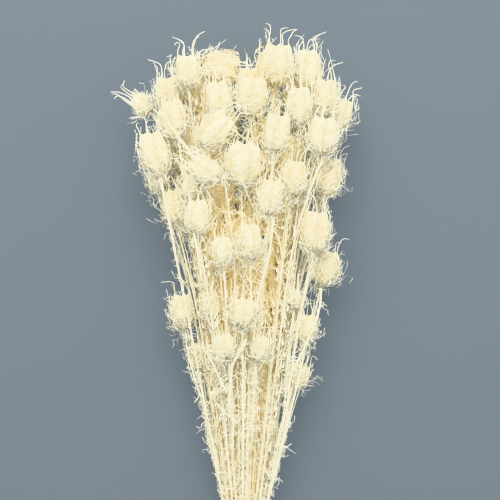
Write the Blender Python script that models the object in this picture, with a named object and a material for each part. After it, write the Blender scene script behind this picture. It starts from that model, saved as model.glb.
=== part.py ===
"""A bunch of dried, bleached nigella seed pods, tied near its cut ends and lying on its side.

Run it with: blender --background --python part.py
Units are metres. +Y runs along the bunch from the cut ends to the heads, +Z is up, and the bunch lies on z = 0
with the origin under the middle of its box.
"""

import math

import bmesh
import bpy
import numpy as np
from mathutils import Matrix, Vector

MM = 0.001
SEED = 7

# The bunch as a whole
TIE_Y = 60 * MM  # from the cut ends to the middle of the tie
FULL_DEPTH_Y = 350 * MM  # where the bunch reaches its full depth
FULL_DEPTH = 96 * MM  # the depth of the heads, from the surface up
TIE_DEPTH = 27 * MM
LEVEL = 10 * MM  # stems are laid out on cross-sections this far apart
STEM_SPACING = 3.6 * MM  # least distance between the middles of two stems, above the tie
GATHER_Y = 100 * MM  # below this the stems run straight, drawn together by the tie
GATHERED = ((0.0, 0.92), (TIE_Y, 0.71), (GATHER_Y, 1.0))  # spread of the stems as a share of that at GATHER_Y
STEM_TO_POD = 1.95 * MM  # least distance from the middle of a stem to another pod's horns and bracts
SIDE_SHOOT_WIDTH = 17.5 * MM  # pods narrower than this grow on a side shoot of a neighbour's stem
SHOOT_LENGTH = 75 * MM  # from the fork to the side shoot's pod

# One stem
STEM_RADIUS_LOW = 1.1 * MM
STEM_RADIUS_HIGH = 0.95 * MM
SHOOT_RADIUS = 0.9 * MM
STEM_SIDES = 3
STEM_TOLERANCE = 0.5 * MM  # how far a stem's straight runs may leave its curve
NECK = 9 * MM  # the stretch of stem that bends into a pod
NECK_STEPS = 3

# One pod: five lobes, so ten corners round, five ridges and five grooves
CORNERS = 10
GROOVE = 0.9  # a groove's radius, as a share of a ridge's
POD_PROFILE = ((0.03, 0.2), (0.14, 0.66), (0.44, 1.0), (0.78, 0.9), (0.94, 0.56))  # height and radius shares
TIP_HEIGHT = 1.0
FLAT_SPOT = 0.1  # how deep a pod that lies on the surface is flattened, as a share of its radius

# Horns on top of a pod, and bracts below it
HORN_LENGTH = 13 * MM
HORN_RADIUS = 0.5 * MM
HORN_ZONE = 5.2 * MM  # height over a pod of the middle of the ball that its horns keep to
BRACT_RADIUS = 0.48 * MM
BRACT_REACH = 1.7 * MM  # how far a bract's tip stands off the pod
BRACT_TIP_HEIGHT = 0.42

# Thread leaves along the stems: a real stem has hundreds, and here each has the few that find room
THREAD_RADIUS = 0.42 * MM
THREAD_LENGTH = (11 * MM, 19 * MM)
THREAD_STEP = 75 * MM  # along one stem
THREAD_TRIES = 24
THREAD_CLEARANCE = 0.7 * MM
THREAD_DRAW = 1002  # seeds their places

# The tie: turns of twine round the stems
TWINE_RADIUS = 1.0 * MM
TWINE_TURNS = 3
TIE_SIDES = 20
TOUCH_GAP = 0.3 * MM  # left between pieces that touch

# Pods in view, in millimetres: across, along, layer from 0 on the surface to 1 on top, width, length, and the
# lean of the tip from +Y towards +X in degrees
PODS_IN_VIEW = (
    (-43, 483, 0.75, 20, 26, -5),
    (-58, 466, 0.45, 21, 29, -8),
    (-35, 470, 0.60, 21, 32, -8),
    (-82, 457, 0.55, 14, 19, -58),
    (-72, 416, 0.60, 25, 37, -14),
    (-9, 488, 0.65, 24, 29, 105),
    (17, 489, 0.75, 28, 34, 4),
    (45, 486, 0.60, 22, 34, 2),
    (38, 455, 0.85, 20, 30, -3),
    (64, 462, 0.60, 20, 30, 3),
    (77, 450, 0.40, 22, 28, 22),
    (-54, 444, 0.75, 21, 33, -12),
    (-17, 460, 0.80, 21, 29, -4),
    (-12, 434, 0.97, 22, 32, 42),
    (2, 407, 1.00, 30, 34, 5),
    (-29, 402, 0.97, 19, 28, -62),
    (8, 462, 0.95, 25, 31, 3),
    (24, 432, 0.85, 21, 30, 8),
    (50, 430, 0.85, 24, 30, 5),
    (-56, 373, 0.50, 22, 30, -10),
    (-41, 388, 0.80, 17, 23, -6),
    (-29, 364, 0.92, 19, 28, -3),
    (15, 380, 0.95, 20, 28, 6),
    (40, 396, 0.85, 20, 28, 10),
    (64, 394, 0.55, 21, 26, 12),
    (60, 352, 0.60, 24, 33, 6),
    (60, 322, 0.50, 26, 29, 12),
    (4, 344, 0.95, 19, 28, 0),
    (-18, 336, 0.90, 18, 23, -5),
    (-45, 285, 0.50, 19, 29, -6),
    (-26, 290, 0.70, 15, 26, -2),
    (1, 286, 1.00, 20, 23, 4),
    (-11, 258, 1.00, 15, 21, -12),
    (10, 256, 0.95, 15, 21, 14),
    (-40, 248, 0.50, 16, 24, -8),
    (44, 297, 0.60, 10, 15, 4),
    (47, 272, 0.60, 18, 23, 6),
    (40, 232, 0.55, 18, 20, 24),
)
# Pods under and inside those: along in millimetres, how many across, and their layer
PODS_BELOW = (
    (292, 1, 0.0),
    (330, 2, 0.0),
    (366, 3, 0.0),
    (402, 4, 0.0),
    (438, 4, 0.0),
    (474, 3, 0.0),
    (350, 1, 0.4),
    (384, 2, 0.4),
    (420, 2, 0.4),
)
BELOW_WIDTH = (19 * MM, 25 * MM)
BELOW_SLENDER = (1.2, 1.38)  # length over width


def bunch_depth(y):
    """Depth of the bunch, from the surface up, at a place along it."""
    share = np.clip((y - TIE_Y) / (FULL_DEPTH_Y - TIE_Y), 0, 1)
    return TIE_DEPTH + share * (FULL_DEPTH - TIE_DEPTH)


def half_width(y):
    """Half the width of the bunch: a cone that closes again over the topmost heads."""
    return min(26 * MM + 0.19 * (y - 140 * MM), 82 * MM - 0.9 * max(0.0, y - 455 * MM))


def all_pods():
    """Every pod as a row: x, y, layer, width, length, lean, rise and roll, in metres and radians."""
    rng = np.random.default_rng(SEED)
    rows = [(x * MM, y * MM, layer, w * MM, h * MM, math.radians(lean)) for x, y, layer, w, h, lean in PODS_IN_VIEW]
    for along, across, layer in PODS_BELOW:
        reach = half_width(along * MM) - BELOW_WIDTH[0] / 2
        for i in range(across):
            place = (2 * i + 1) / across - 1
            width = rng.uniform(*BELOW_WIDTH)
            length = width * rng.uniform(*BELOW_SLENDER)
            x = reach * place + rng.uniform(-3, 3) * MM
            y = along * MM + rng.uniform(-8, 8) * MM
            rows.append((x, y, layer, width, length, math.radians(12 * place + rng.uniform(-6, 6))))
    rows = np.array(rows)
    rise = np.radians((rows[:, 2] - 0.5) * 36 + rng.uniform(-8, 8, len(rows)))
    rise[rows[:, 2] == 0] = 0
    roll = rng.uniform(0, 2 * math.pi, len(rows))
    return np.column_stack([rows, rise, roll])


def pod_axes(pods):
    """Unit vector from each pod's base to its tip."""
    lean, rise = pods[:, 5], pods[:, 6]
    return np.column_stack([np.sin(lean) * np.cos(rise), np.cos(lean) * np.cos(rise), np.sin(rise)])


def parents_of(pods, centres):
    """For each pod, the pod whose stem it forks from, or -1 if it has a stem of its own.

    A narrow pod forks from the nearest wide pod further up whose stem carries no other shoot.
    """
    parents = np.full(len(pods), -1)
    apex = np.array([0, TIE_Y, TIE_DEPTH / 2])
    bearing = (centres - apex) / (centres[:, 1] - TIE_Y)[:, None]
    for i in np.flatnonzero(pods[:, 3] < SIDE_SHOOT_WIDTH):
        free = (pods[:, 3] >= SIDE_SHOOT_WIDTH) & (centres[:, 1] > centres[i, 1] + 25 * MM)
        free[parents[parents >= 0]] = False
        apart = np.linalg.norm(bearing - bearing[i], axis=1)
        parents[i] = np.argmin(np.where(free, apart, np.inf))
    return parents


def lay_out():
    """Settles the pods and stems together, so that no two touch.

    Each pod keeps clear of the others as four balls along its axis: neck, lower body, upper body and horns. Each
    stem is one point on every cross-section of the bunch. In each round, things that are too close are pushed
    apart, stems are smoothed, pods drift back towards their own places, and the tie draws the stems together.
    """
    pods = all_pods()
    n = len(pods)
    axes = pod_axes(pods)
    radius, length = pods[:, 3] / 2, pods[:, 4]
    target = np.column_stack([pods[:, 0], pods[:, 1], radius + pods[:, 2] * (bunch_depth(pods[:, 1]) - 2 * radius)])
    on_surface = pods[:, 2] == 0
    lowest = radius * np.where(on_surface, 1 - FLAT_SPOT, 1) + np.where(on_surface, 0, BRACT_REACH)
    target[on_surface, 2] = lowest[on_surface]
    centres = target.copy()
    parents = parents_of(pods, centres)

    up = np.array([0.0, 1.0, 0.0])
    into_neck = (axes + up) / np.linalg.norm(axes + up, axis=1)[:, None]
    base = -axes * (length / 2)[:, None]
    foot = base - into_neck * NECK
    ball_at = np.stack(
        [
            base - into_neck * NECK / 2,
            axes * (-0.14 * length)[:, None],
            axes * (0.14 * length)[:, None],
            axes * (length / 2 + HORN_ZONE)[:, None],
        ],
        axis=1,
    )
    ball_radius = np.column_stack(
        [np.full(n, 3 * MM), radius + 2.2 * MM, 0.98 * radius + 0.8 * MM, 0.62 * radius + 3.4 * MM]
    )
    owner = np.repeat(np.arange(n), 4)
    ball_radius = ball_radius.ravel()
    same_pod = owner[:, None] == owner[None, :]

    level_y = np.arange(0, target[:, 1].max(), LEVEL)
    end_y = centres[:, 1] + foot[:, 1]
    last = np.floor(end_y / LEVEL - 0.4).astype(int)
    first = np.where(parents >= 0, np.maximum(last - int(SHOOT_LENGTH / LEVEL), 0), 0)
    level = np.arange(len(level_y))
    tie_centre = np.array([0, TIE_DEPTH / 2])
    gather_level = int(round(GATHER_Y / LEVEL))
    drawn = np.interp(level_y, *zip(*GATHERED))[None, :gather_level, None]
    gather_centre = np.array([0, bunch_depth(GATHER_Y) / 2])
    climb = np.clip((level_y - TIE_Y) / (GATHER_Y - TIE_Y), 0, 1)[None, :gather_level, None]
    middle = tie_centre + climb * (gather_centre - tie_centre)
    there = (level[None, :] <= last[:, None]) & (level[None, :] >= first[:, None])

    def ends():
        return (centres + foot)[:, [0, 2]]

    share = np.clip((level_y[None, :] - TIE_Y) / (end_y[:, None] - TIE_Y), -0.12, 1)
    gather = tie_centre + 0.1 * (ends() - tie_centre)
    stems = gather[:, None, :] + share[:, :, None] * (ends() - gather)[:, None, :]
    straight = stems.copy()

    def push_apart_stems(amount):
        gap = stems[:, None] - stems[None, :]
        distance = np.sqrt((gap**2).sum(-1)) + 1e-9
        close = np.clip(STEM_SPACING - distance, 0, None) * (there[:, None] & there[None, :])
        stems[...] += amount * ((close / distance)[..., None] * gap).sum(1)

    def push_apart_pods(amount):
        balls = (centres[:, None] + ball_at).reshape(-1, 3)
        gap = balls[:, None] - balls[None, :]
        distance = np.sqrt((gap**2).sum(-1)) + 1e-9
        close = np.clip(ball_radius[:, None] + ball_radius[None, :] - distance, 0, None)
        close[same_pod] = 0
        shove = ((close / distance)[..., None] * gap).sum(1).reshape(n, 4, 3).sum(1)
        centres[:, [0, 2]] += amount * shove[:, [0, 2]]

    def push_stems_off_pods(amount):
        balls = (centres[:, None] + ball_at).reshape(-1, 3)
        nearest = np.rint(balls[:, 1] / LEVEL).astype(int)
        for step in (-2, -1, 0, 1, 2):
            k = np.clip(nearest + step, 0, len(level_y) - 1)
            reach = np.sqrt(np.clip(ball_radius**2 - (level_y[k] - balls[:, 1]) ** 2, 0, None))
            gap = stems[:, k] - balls[None][..., [0, 2]]
            distance = np.sqrt((gap**2).sum(-1)) + 1e-9
            close = np.clip(reach[None] + STEM_TO_POD - distance, 0, None) * (reach > 0)[None] * there[:, k]
            close[np.arange(n)[:, None] == owner[None]] = 0
            shove = (close / distance)[..., None] * gap
            np.add.at(stems, (slice(None), k), amount * shove)
            back = shove.sum(0).reshape(n, 4, 2).sum(1)
            centres[:, [0, 2]] -= 0.1 * amount * back

    def tidy(smoothing, homing):
        ahead = np.concatenate([stems[:, 1:], stems[:, -1:]], axis=1)
        behind = np.concatenate([stems[:, :1], stems[:, :-1]], axis=1)
        beyond = level[None, :, None] > last[:, None, None]
        at_end = level[None, :, None] == last[:, None, None]
        ahead = np.where(at_end, ends()[:, None, :], ahead)
        stems[...] += smoothing * (ahead + behind - 2 * stems) + homing * (straight - stems)
        stems[...] = np.where(beyond, ends()[:, None, :], stems)
        stems[:, gather_level] += 0.02 * (gather_centre - stems[:, gather_level])
        stems[:, :gather_level] = middle + drawn * (stems[:, gather_level, None] - gather_centre)
        for i in np.flatnonzero(parents >= 0):
            stems[i, : first[i] + 1] = stems[parents[i], : first[i] + 1]
        stems[:, gather_level:, 1] = np.maximum(stems[:, gather_level:, 1], 1.5 * STEM_RADIUS_LOW)
        centres[:, [0, 2]] += 4 * homing * (target - centres)[:, [0, 2]]
        centres[:, 2] = np.where(on_surface, lowest, np.maximum(centres[:, 2], lowest))

    for _ in range(160):
        push_apart_pods(0.25)
        push_stems_off_pods(0.45)
        push_apart_stems(0.35)
        tidy(0.3, 0.01)
    for _ in range(140):
        push_apart_pods(0.2)
        push_stems_off_pods(0.4)
        push_apart_stems(0.3)
        tidy(0.12, 0.0)
    return pods, axes, centres, foot, base, parents, stems, first, last, level_y


def thinned(points, tolerance):
    """The points that a smooth line needs: those that stand further than the tolerance from the run without them."""
    start, end = points[0], points[-1]
    along = (end - start) / np.linalg.norm(end - start)
    inner = points[1:-1] - start
    off = np.linalg.norm(inner - np.outer(inner @ along, along), axis=1)
    if len(off) == 0 or off.max() < tolerance:
        return [start, end]
    split = int(off.argmax()) + 1
    return thinned(points[: split + 1], tolerance)[:-1] + thinned(points[split:], tolerance)


def stem_line(i, layout):
    """Points along stem i, from its cut end or its fork up into the base of its pod."""
    pods, axes, centres, foot, base, parents, stems, first, last, level_y = layout
    levels = range(first[i], last[i] + 1)
    points = [(stems[i, k, 0], level_y[k], stems[i, k, 1]) for k in levels]
    begin, end = centres[i] + foot[i], centres[i] + base[i]
    pull = NECK / 3
    for t in np.linspace(0, 1, NECK_STEPS + 1):
        handle_low = begin + np.array([0, pull, 0])
        handle_high = end - axes[i] * pull
        points.append(
            (1 - t) ** 3 * begin
            + 3 * (1 - t) ** 2 * t * handle_low
            + 3 * (1 - t) * t**2 * handle_high
            + t**3 * end
        )
    points = np.array(points)
    if first[i] > 0:
        return np.array(thinned(points, STEM_TOLERANCE))
    held = [int(round(y / LEVEL)) for y in (0, TIE_Y, GATHER_Y)]
    return np.array(list(points[held[:2]]) + thinned(points[held[2] :], STEM_TOLERANCE))


def thread_leaves(layout, lines):
    """The thread leaves of every stem, as one list of (root, bend, tip) for each stem.

    Each thread leaves its stem sideways, then bends up or down along it. It is turned round the stem, and
    shortened, until it stands clear of every other stem, pod and thread, and is left out if it never does.
    """
    pods, axes, centres = layout[:3]
    rng = np.random.default_rng([SEED, THREAD_DRAW])
    radius, length = pods[:, 3] / 2, pods[:, 4]
    ball = np.concatenate([centres + axes * (length * share)[:, None] for share in (-0.14, 0.14)])
    ball = np.concatenate([ball, centres + axes * (length / 2 + HORN_ZONE)[:, None]])
    ball_radius = np.concatenate([radius + 2.4 * MM, radius + 1.4 * MM, 0.62 * radius + 3.6 * MM])
    samples, owner = [], []
    for i, line in enumerate(lines):
        for a, b in zip(line, line[1:]):
            steps = max(2, int(np.linalg.norm(b - a) / (1.5 * MM)))
            samples.append(a + (b - a) * np.linspace(0, 1, steps)[:, None])
            owner += [i] * steps
    samples, owner = np.concatenate(samples), np.array(owner)
    placed = np.zeros((0, 3))
    threads = [[] for _ in lines]
    for i, line in enumerate(lines):
        runs = np.linalg.norm(np.diff(line, axis=0), axis=1)
        reach = np.concatenate([[0], np.cumsum(runs)])
        places = np.arange(GATHER_Y + rng.uniform(0, THREAD_STEP), reach[-1] - length[i], THREAD_STEP)
        for place in places - (line[0, 1] if line[0, 1] > GATHER_Y else 0):
            if place < 6 * MM:
                continue
            k = min(int(np.searchsorted(reach, place)) - 1, len(line) - 2)
            along = (line[k + 1] - line[k]) / runs[k]
            root = line[k] + along * (place - reach[k])
            side = np.cross(along, [0.0, 0.0, 1.0])
            side /= np.linalg.norm(side)
            other = np.cross(side, along)
            bearing = rng.uniform(0, 2 * math.pi)
            size = rng.uniform(*THREAD_LENGTH)
            way = 1 if rng.uniform() < 0.75 else -1
            others = samples[(owner != i) & (np.abs(samples[:, 1] - root[1]) < 2 * THREAD_LENGTH[1])]
            for attempt in range(THREAD_TRIES):
                turned = bearing + attempt * 2.4
                out = math.cos(turned) * side + math.sin(turned) * other
                twist = math.cos(turned + 0.9) * side + math.sin(turned + 0.9) * other
                long = size * (1 - 0.5 * attempt / THREAD_TRIES)
                bend = root + out * 0.42 * long + along * way * 0.34 * long
                tip = bend + twist * 0.22 * long + along * way * 0.55 * long
                t = np.linspace(0, 1, 9)[:, None]
                path = np.concatenate([root + (bend - root) * t, bend + (tip - bend) * t])
                near = np.linalg.norm(path[:, None] - others[None], axis=2)
                room = near.min() - STEM_RADIUS_LOW - THREAD_RADIUS
                room = min(room, (np.linalg.norm(path[:, None] - ball[None], axis=2) - ball_radius).min())
                if len(placed):
                    room = min(room, np.linalg.norm(path[:, None] - placed[None], axis=2).min() - 2 * THREAD_RADIUS)
                if room > THREAD_CLEARANCE and path[:, 2].min() > 2 * THREAD_RADIUS:
                    threads[i].append((root, bend, tip))
                    placed = np.concatenate([placed, path])
                    break
    return threads


def thread_mesh(root, bend, tip):
    """One thread leaf: a three-sided needle with its root sunk in the stem, bent once."""
    root, bend, tip = Vector(root), Vector(bend), Vector(tip)
    bm = bmesh.new()
    low = (bend - root).normalized()
    high = (low + (tip - bend).normalized()).normalized()
    side = low.orthogonal().normalized()
    turn = low.rotation_difference(high)
    start = [Matrix.Rotation(2 * math.pi * j / 3, 3, low) @ side * THREAD_RADIUS for j in range(3)]
    first = [bm.verts.new(root + v) for v in start]
    second = [bm.verts.new(bend + turn @ v * 0.85) for v in start]
    point = bm.verts.new(tip)
    bm.faces.new(first[::-1])
    for j in range(3):
        k = (j + 1) % 3
        bm.faces.new((first[j], first[k], second[k], second[j]))
        bm.faces.new((second[j], second[k], point))
    return bm


def mesh_object(name, bm, collection):
    """Puts a finished bmesh into a new object of the collection."""
    mesh = bpy.data.meshes.new(name)
    bm.to_mesh(mesh)
    bm.free()
    obj = bpy.data.objects.new(name, mesh)
    collection.objects.link(obj)
    return obj


def grow_stem(bm, points, radius_low, radius_high):
    """Adds a stem along the points, whose sections are carried along without twisting, and gives its last ring."""
    points = [Vector(p) for p in points]
    runs = [(b - a).normalized() for a, b in zip(points, points[1:])]
    side = Vector((1, 0, 0))
    rings = []
    for i, point in enumerate(points):
        tangent = (runs[max(i - 1, 0)] + runs[min(i, len(runs) - 1)]).normalized()
        side = (side - tangent * side.dot(tangent)).normalized()
        other = tangent.cross(side)
        radius = radius_low + (radius_high - radius_low) * i / (len(points) - 1)
        ring = []
        for j in range(STEM_SIDES):
            angle = 2 * math.pi * (j + 0.5) / STEM_SIDES
            ring.append(bm.verts.new(point + radius * (math.cos(angle) * side + math.sin(angle) * other)))
        rings.append(ring)
    for low, high in zip(rings, rings[1:]):
        for j in range(STEM_SIDES):
            k = (j + 1) % STEM_SIDES
            bm.faces.new((low[j], low[k], high[k], high[j]))
    bm.faces.new(rings[0][::-1])
    return rings[-1]


def grow_needle(bm, face, joint, tip, radius):
    """Draws a three-cornered face out into a needle: to a small ring round the joint, then to the tip.

    The ring is the face's own outline, turned from the face's direction to the needle's.
    """
    corners = list(face.verts)
    face.normal_update()
    middle = sum((v.co for v in corners), Vector()) / 3
    along = (joint - middle).normalized() + (tip - joint).normalized()
    turn = face.normal.rotation_difference(along)
    ring = [bm.verts.new(joint + turn @ (v.co - middle).normalized() * radius) for v in corners]
    bm.faces.remove(face)
    point = bm.verts.new(tip)
    for j in range(3):
        k = (j + 1) % 3
        bm.faces.new((corners[j], corners[k], ring[k], ring[j]))
        bm.faces.new((ring[j], ring[k], point))


def stalk_mesh(i, layout, line):
    """Stem or side shoot i with its pod, five horns and five bracts, as one closed surface."""
    pods, axes, centres, foot, base = layout[:5]
    rng = np.random.default_rng([SEED, i])
    radius, length, roll = float(pods[i, 3]) / 2, float(pods[i, 4]), float(pods[i, 7])
    axis = Vector(axes[i])
    bottom = Vector(centres[i] + base[i])
    side = axis.cross(Vector((0, 0, 1))).normalized()
    other = axis.cross(side)

    def at(height, out, bearing):
        """A point of the pod: height and radius in metres, bearing in radians."""
        return bottom + axis * height + out * (math.cos(bearing) * side + math.sin(bearing) * other)

    bm = bmesh.new()
    thick = (STEM_RADIUS_LOW, STEM_RADIUS_HIGH) if layout[5][i] < 0 else (SHOOT_RADIUS, SHOOT_RADIUS)
    top_of_stem = grow_stem(bm, line, *thick)
    rings = []
    for height, out in POD_PROFILE:
        ring = []
        for j in range(CORNERS):
            lobe = 1 if j % 2 == 0 else GROOVE
            bearing = roll + 2 * math.pi * j / CORNERS
            ring.append(bm.verts.new(at(height * length, out * radius * lobe, bearing)))
        rings.append(ring)
    for low, high in zip(rings, rings[1:]):
        for j in range(CORNERS):
            k = (j + 1) % CORNERS
            bm.faces.new((low[j], low[k], high[k], high[j]))
    tip_pole = bm.verts.new(at(TIP_HEIGHT * length, 0, 0))
    nearest = []
    for vert in rings[0]:
        out = vert.co - bottom - axis * (vert.co - bottom).dot(axis)
        nearest.append(max(range(STEM_SIDES), key=lambda c: out.dot(top_of_stem[c].co - bottom)))
    for j in range(CORNERS):
        k = (j + 1) % CORNERS
        under = bm.faces.new((rings[0][k], rings[0][j], top_of_stem[nearest[j]]))
        if nearest[j] != nearest[k]:
            bm.faces.new((rings[0][k], top_of_stem[nearest[j]], top_of_stem[nearest[k]]))
        over = bm.faces.new((rings[-1][j], rings[-1][k], tip_pole))
        if j % 2:
            continue
        bearing = roll + 2 * math.pi * (j + 0.5) / CORNERS
        horn = HORN_LENGTH * rng.uniform(0.8, 1.1)
        swing = bearing + rng.uniform(-0.3, 0.3)
        joint = at(length + 0.35 * horn, (0.42 + rng.uniform(0, 0.12)) * radius, bearing)
        tip = at(length + 0.8 * horn, (0.3 + rng.uniform(0, 0.36)) * radius, swing)
        grow_needle(bm, over, joint, tip, HORN_RADIUS)
        swing = bearing + rng.uniform(-0.2, 0.2)
        reach = BRACT_REACH * rng.uniform(0.7, 1.1)
        joint = at(0.02 * length, 0.78 * radius, swing)
        tip = at(BRACT_TIP_HEIGHT * length * rng.uniform(0.85, 1.1), radius + reach, swing + rng.uniform(-0.2, 0.2))
        joint.z, tip.z = max(joint.z, 1.2 * BRACT_RADIUS), max(tip.z, 1.2 * BRACT_RADIUS)
        grow_needle(bm, under, joint, tip, BRACT_RADIUS)
    bmesh.ops.recalc_face_normals(bm, faces=bm.faces)
    if pods[i, 2] == 0:
        flatten_underside(bm)
    return bm


def flatten_underside(bm):
    """Cuts the pod off level with the surface that it lies on, and closes the cut with one flat face."""
    everything = bm.verts[:] + bm.edges[:] + bm.faces[:]
    bmesh.ops.bisect_plane(
        bm, geom=everything, dist=1e-6, plane_co=(0, 0, 0), plane_no=(0, 0, -1), clear_outer=True
    )
    bmesh.ops.holes_fill(bm, edges=[e for e in bm.edges if e.is_boundary], sides=0)


def join(name, meshes, material):
    """Fuses the closed meshes into one solid object with a Boolean union on their collection."""
    operands = bpy.data.collections.new(name + "_pieces")
    bpy.context.scene.collection.children.link(operands)
    whole = mesh_object(name, meshes[0], bpy.context.scene.collection)
    for bm in meshes[1:]:
        mesh_object(name + "_piece", bm, operands)
    union = whole.modifiers.new("union", "BOOLEAN")
    union.operation = "UNION"
    union.operand_type = "COLLECTION"
    union.collection = operands
    graph = bpy.context.evaluated_depsgraph_get()
    fused = bpy.data.meshes.new_from_object(whole.evaluated_get(graph))
    whole.modifiers.clear()
    whole.data = fused
    for piece in list(operands.objects):
        bpy.data.objects.remove(piece)
    bpy.data.collections.remove(operands)
    fused.materials.clear()
    fused.materials.append(material)
    fused.shade_smooth()
    fused.set_sharp_from_angle(angle=math.radians(40))
    return whole


def make_material(name, colour, roughness):
    material = bpy.data.materials.new(name)
    material.use_nodes = True
    shader = material.node_tree.nodes["Principled BSDF"]
    shader.inputs["Base Color"].default_value = (*colour, 1)
    shader.inputs["Roughness"].default_value = roughness
    shader.inputs["Metallic"].default_value = 0
    return material


def make_stems(layout, material):
    """One object for each cut stem: the stem, its side shoot if it has one, their pods and thread leaves."""
    parents = layout[5]
    lines = [stem_line(i, layout) for i in range(len(parents))]
    threads = thread_leaves(layout, lines)
    made = []
    for i in np.flatnonzero(parents < 0):
        meshes = [stalk_mesh(i, layout, lines[i])]
        meshes += [thread_mesh(*thread) for thread in threads[i]]
        for shoot in np.flatnonzero(parents == i):
            meshes.append(stalk_mesh(shoot, layout, lines[shoot]))
            meshes += [thread_mesh(*thread) for thread in threads[shoot]]
        made.append(join(f"pod_stem_{len(made) + 1:02d}", meshes, material))
    return made


def make_tie(layout, material):
    """Turns of twine round the stems: a ring whose outside is one round ridge for each turn."""
    parents, stems = layout[5], layout[6]
    tie_level = int(round(TIE_Y / LEVEL))
    held = stems[parents < 0, tie_level - 1 : tie_level + 2]
    held = np.concatenate([held[:, 1], 0.65 * held[:, 1] + 0.35 * held[:, 0], 0.65 * held[:, 1] + 0.35 * held[:, 2]])
    centre = (held.min(0) + held.max(0)) / 2
    inner = np.linalg.norm(held - centre, axis=1).max() + STEM_RADIUS_LOW + TOUCH_GAP
    outline = [(-TWINE_TURNS * TWINE_RADIUS, 0.0)]
    for turn in range(TWINE_TURNS):
        middle = (2 * turn + 1 - TWINE_TURNS) * TWINE_RADIUS
        for angle in (150, 90, 30):
            bearing = math.radians(angle)
            outline.append(
                (middle + TWINE_RADIUS * math.cos(bearing), TWINE_RADIUS * (0.9 + math.sin(bearing)))
            )
    outline.append((TWINE_TURNS * TWINE_RADIUS, 0.0))
    bm = bmesh.new()
    rings = []
    for j in range(TIE_SIDES):
        bearing = 2 * math.pi * j / TIE_SIDES
        out = Vector((math.cos(bearing), 0, math.sin(bearing)))
        hub = Vector((centre[0], tie_level * LEVEL, centre[1]))
        rings.append([bm.verts.new(hub + Vector((0, along, 0)) + out * (inner + up)) for along, up in outline])
    for vert in bm.verts:
        vert.co.z = max(vert.co.z, 0)
    for j, ring in enumerate(rings):
        following = rings[(j + 1) % TIE_SIDES]
        for k in range(len(outline)):
            m = (k + 1) % len(outline)
            bm.faces.new((ring[k], ring[m], following[m], following[k]))
    bmesh.ops.recalc_face_normals(bm, faces=bm.faces)
    tie = mesh_object("twine_tie", bm, bpy.context.scene.collection)
    tie.data.materials.append(material)
    tie.data.shade_smooth()
    tie.data.set_sharp_from_angle(angle=math.radians(40))
    return tie


def centre_on_origin(objects):
    """Moves the whole bunch sideways and down until the middle of its underside is the origin."""
    corners = np.array([v.co[:] for obj in objects for v in obj.data.vertices])
    low, high = corners.min(0), corners.max(0)
    shift = Matrix.Translation((-(low[0] + high[0]) / 2, -(low[1] + high[1]) / 2, -low[2]))
    for obj in objects:
        obj.data.transform(shift)


def main():
    for obj in list(bpy.data.objects):
        bpy.data.objects.remove(obj)
    dried = make_material("dried_nigella", (0.86, 0.79, 0.55), 0.75)
    twine = make_material("natural_twine", (0.55, 0.42, 0.25), 0.9)
    layout = lay_out()
    objects = make_stems(layout, dried)
    objects.append(make_tie(layout, twine))
    centre_on_origin(objects)


main()
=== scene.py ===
"""The finish of a bunch of dried, bleached nigella: pods, horns, bracts, stems, threads and twine.

Run it as a script. Its panel in the 3D view's sidebar then offers each step by itself.
"""

import functools
import math

import bpy
import numpy as np
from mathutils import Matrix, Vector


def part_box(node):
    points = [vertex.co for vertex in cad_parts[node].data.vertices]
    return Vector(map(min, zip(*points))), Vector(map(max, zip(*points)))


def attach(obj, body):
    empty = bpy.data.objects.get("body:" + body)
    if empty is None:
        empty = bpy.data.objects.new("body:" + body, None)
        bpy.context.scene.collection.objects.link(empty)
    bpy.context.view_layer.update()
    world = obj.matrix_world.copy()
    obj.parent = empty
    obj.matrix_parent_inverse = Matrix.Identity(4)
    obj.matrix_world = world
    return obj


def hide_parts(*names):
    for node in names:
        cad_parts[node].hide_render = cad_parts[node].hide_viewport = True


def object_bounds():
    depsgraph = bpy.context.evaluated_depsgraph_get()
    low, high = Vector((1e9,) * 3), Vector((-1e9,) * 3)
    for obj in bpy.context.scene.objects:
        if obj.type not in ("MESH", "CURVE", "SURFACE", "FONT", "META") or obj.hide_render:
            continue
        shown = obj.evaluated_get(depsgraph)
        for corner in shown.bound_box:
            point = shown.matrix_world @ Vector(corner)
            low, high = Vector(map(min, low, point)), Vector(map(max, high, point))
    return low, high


bl_info = {
    "name": "Dried Nigella Bunch",
    "version": (1, 0, 0),
    "blender": (4, 5, 0),
    "location": "3D View > Sidebar > Nigella",
    "description": "Dresses a tied bunch of dried nigella with wrinkled pods, curled threads and twine",
    "category": "Add Mesh",
}

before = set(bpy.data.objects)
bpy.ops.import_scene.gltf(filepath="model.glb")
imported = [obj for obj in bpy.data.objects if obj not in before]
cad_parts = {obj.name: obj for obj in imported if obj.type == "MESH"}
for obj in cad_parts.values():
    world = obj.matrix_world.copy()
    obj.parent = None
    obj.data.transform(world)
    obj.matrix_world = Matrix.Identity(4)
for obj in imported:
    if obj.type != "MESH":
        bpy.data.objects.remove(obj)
CAD_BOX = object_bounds()
MM = 0.001
SEED = 7

# How the bunch is laid out. These are the same values as in the solids.
TIE_Y = 60 * MM
FULL_DEPTH_Y = 350 * MM
FULL_DEPTH = 96 * MM
TIE_DEPTH = 27 * MM
LEVEL = 10 * MM
STEM_SPACING = 3.6 * MM
GATHER_Y = 100 * MM
GATHERED = ((0.0, 0.92), (TIE_Y, 0.71), (GATHER_Y, 1.0))
STEM_TO_POD = 1.95 * MM
SIDE_SHOOT_WIDTH = 17.5 * MM
SHOOT_LENGTH = 75 * MM
STEM_RADIUS_LOW = 1.1 * MM
NECK = 9 * MM
FLAT_SPOT = 0.1
HORN_LENGTH = 13 * MM
HORN_ZONE = 5.2 * MM
BRACT_REACH = 1.7 * MM
TWINE_RADIUS = 1.0 * MM
TWINE_TURNS = 3
TOUCH_GAP = 0.3 * MM

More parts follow.
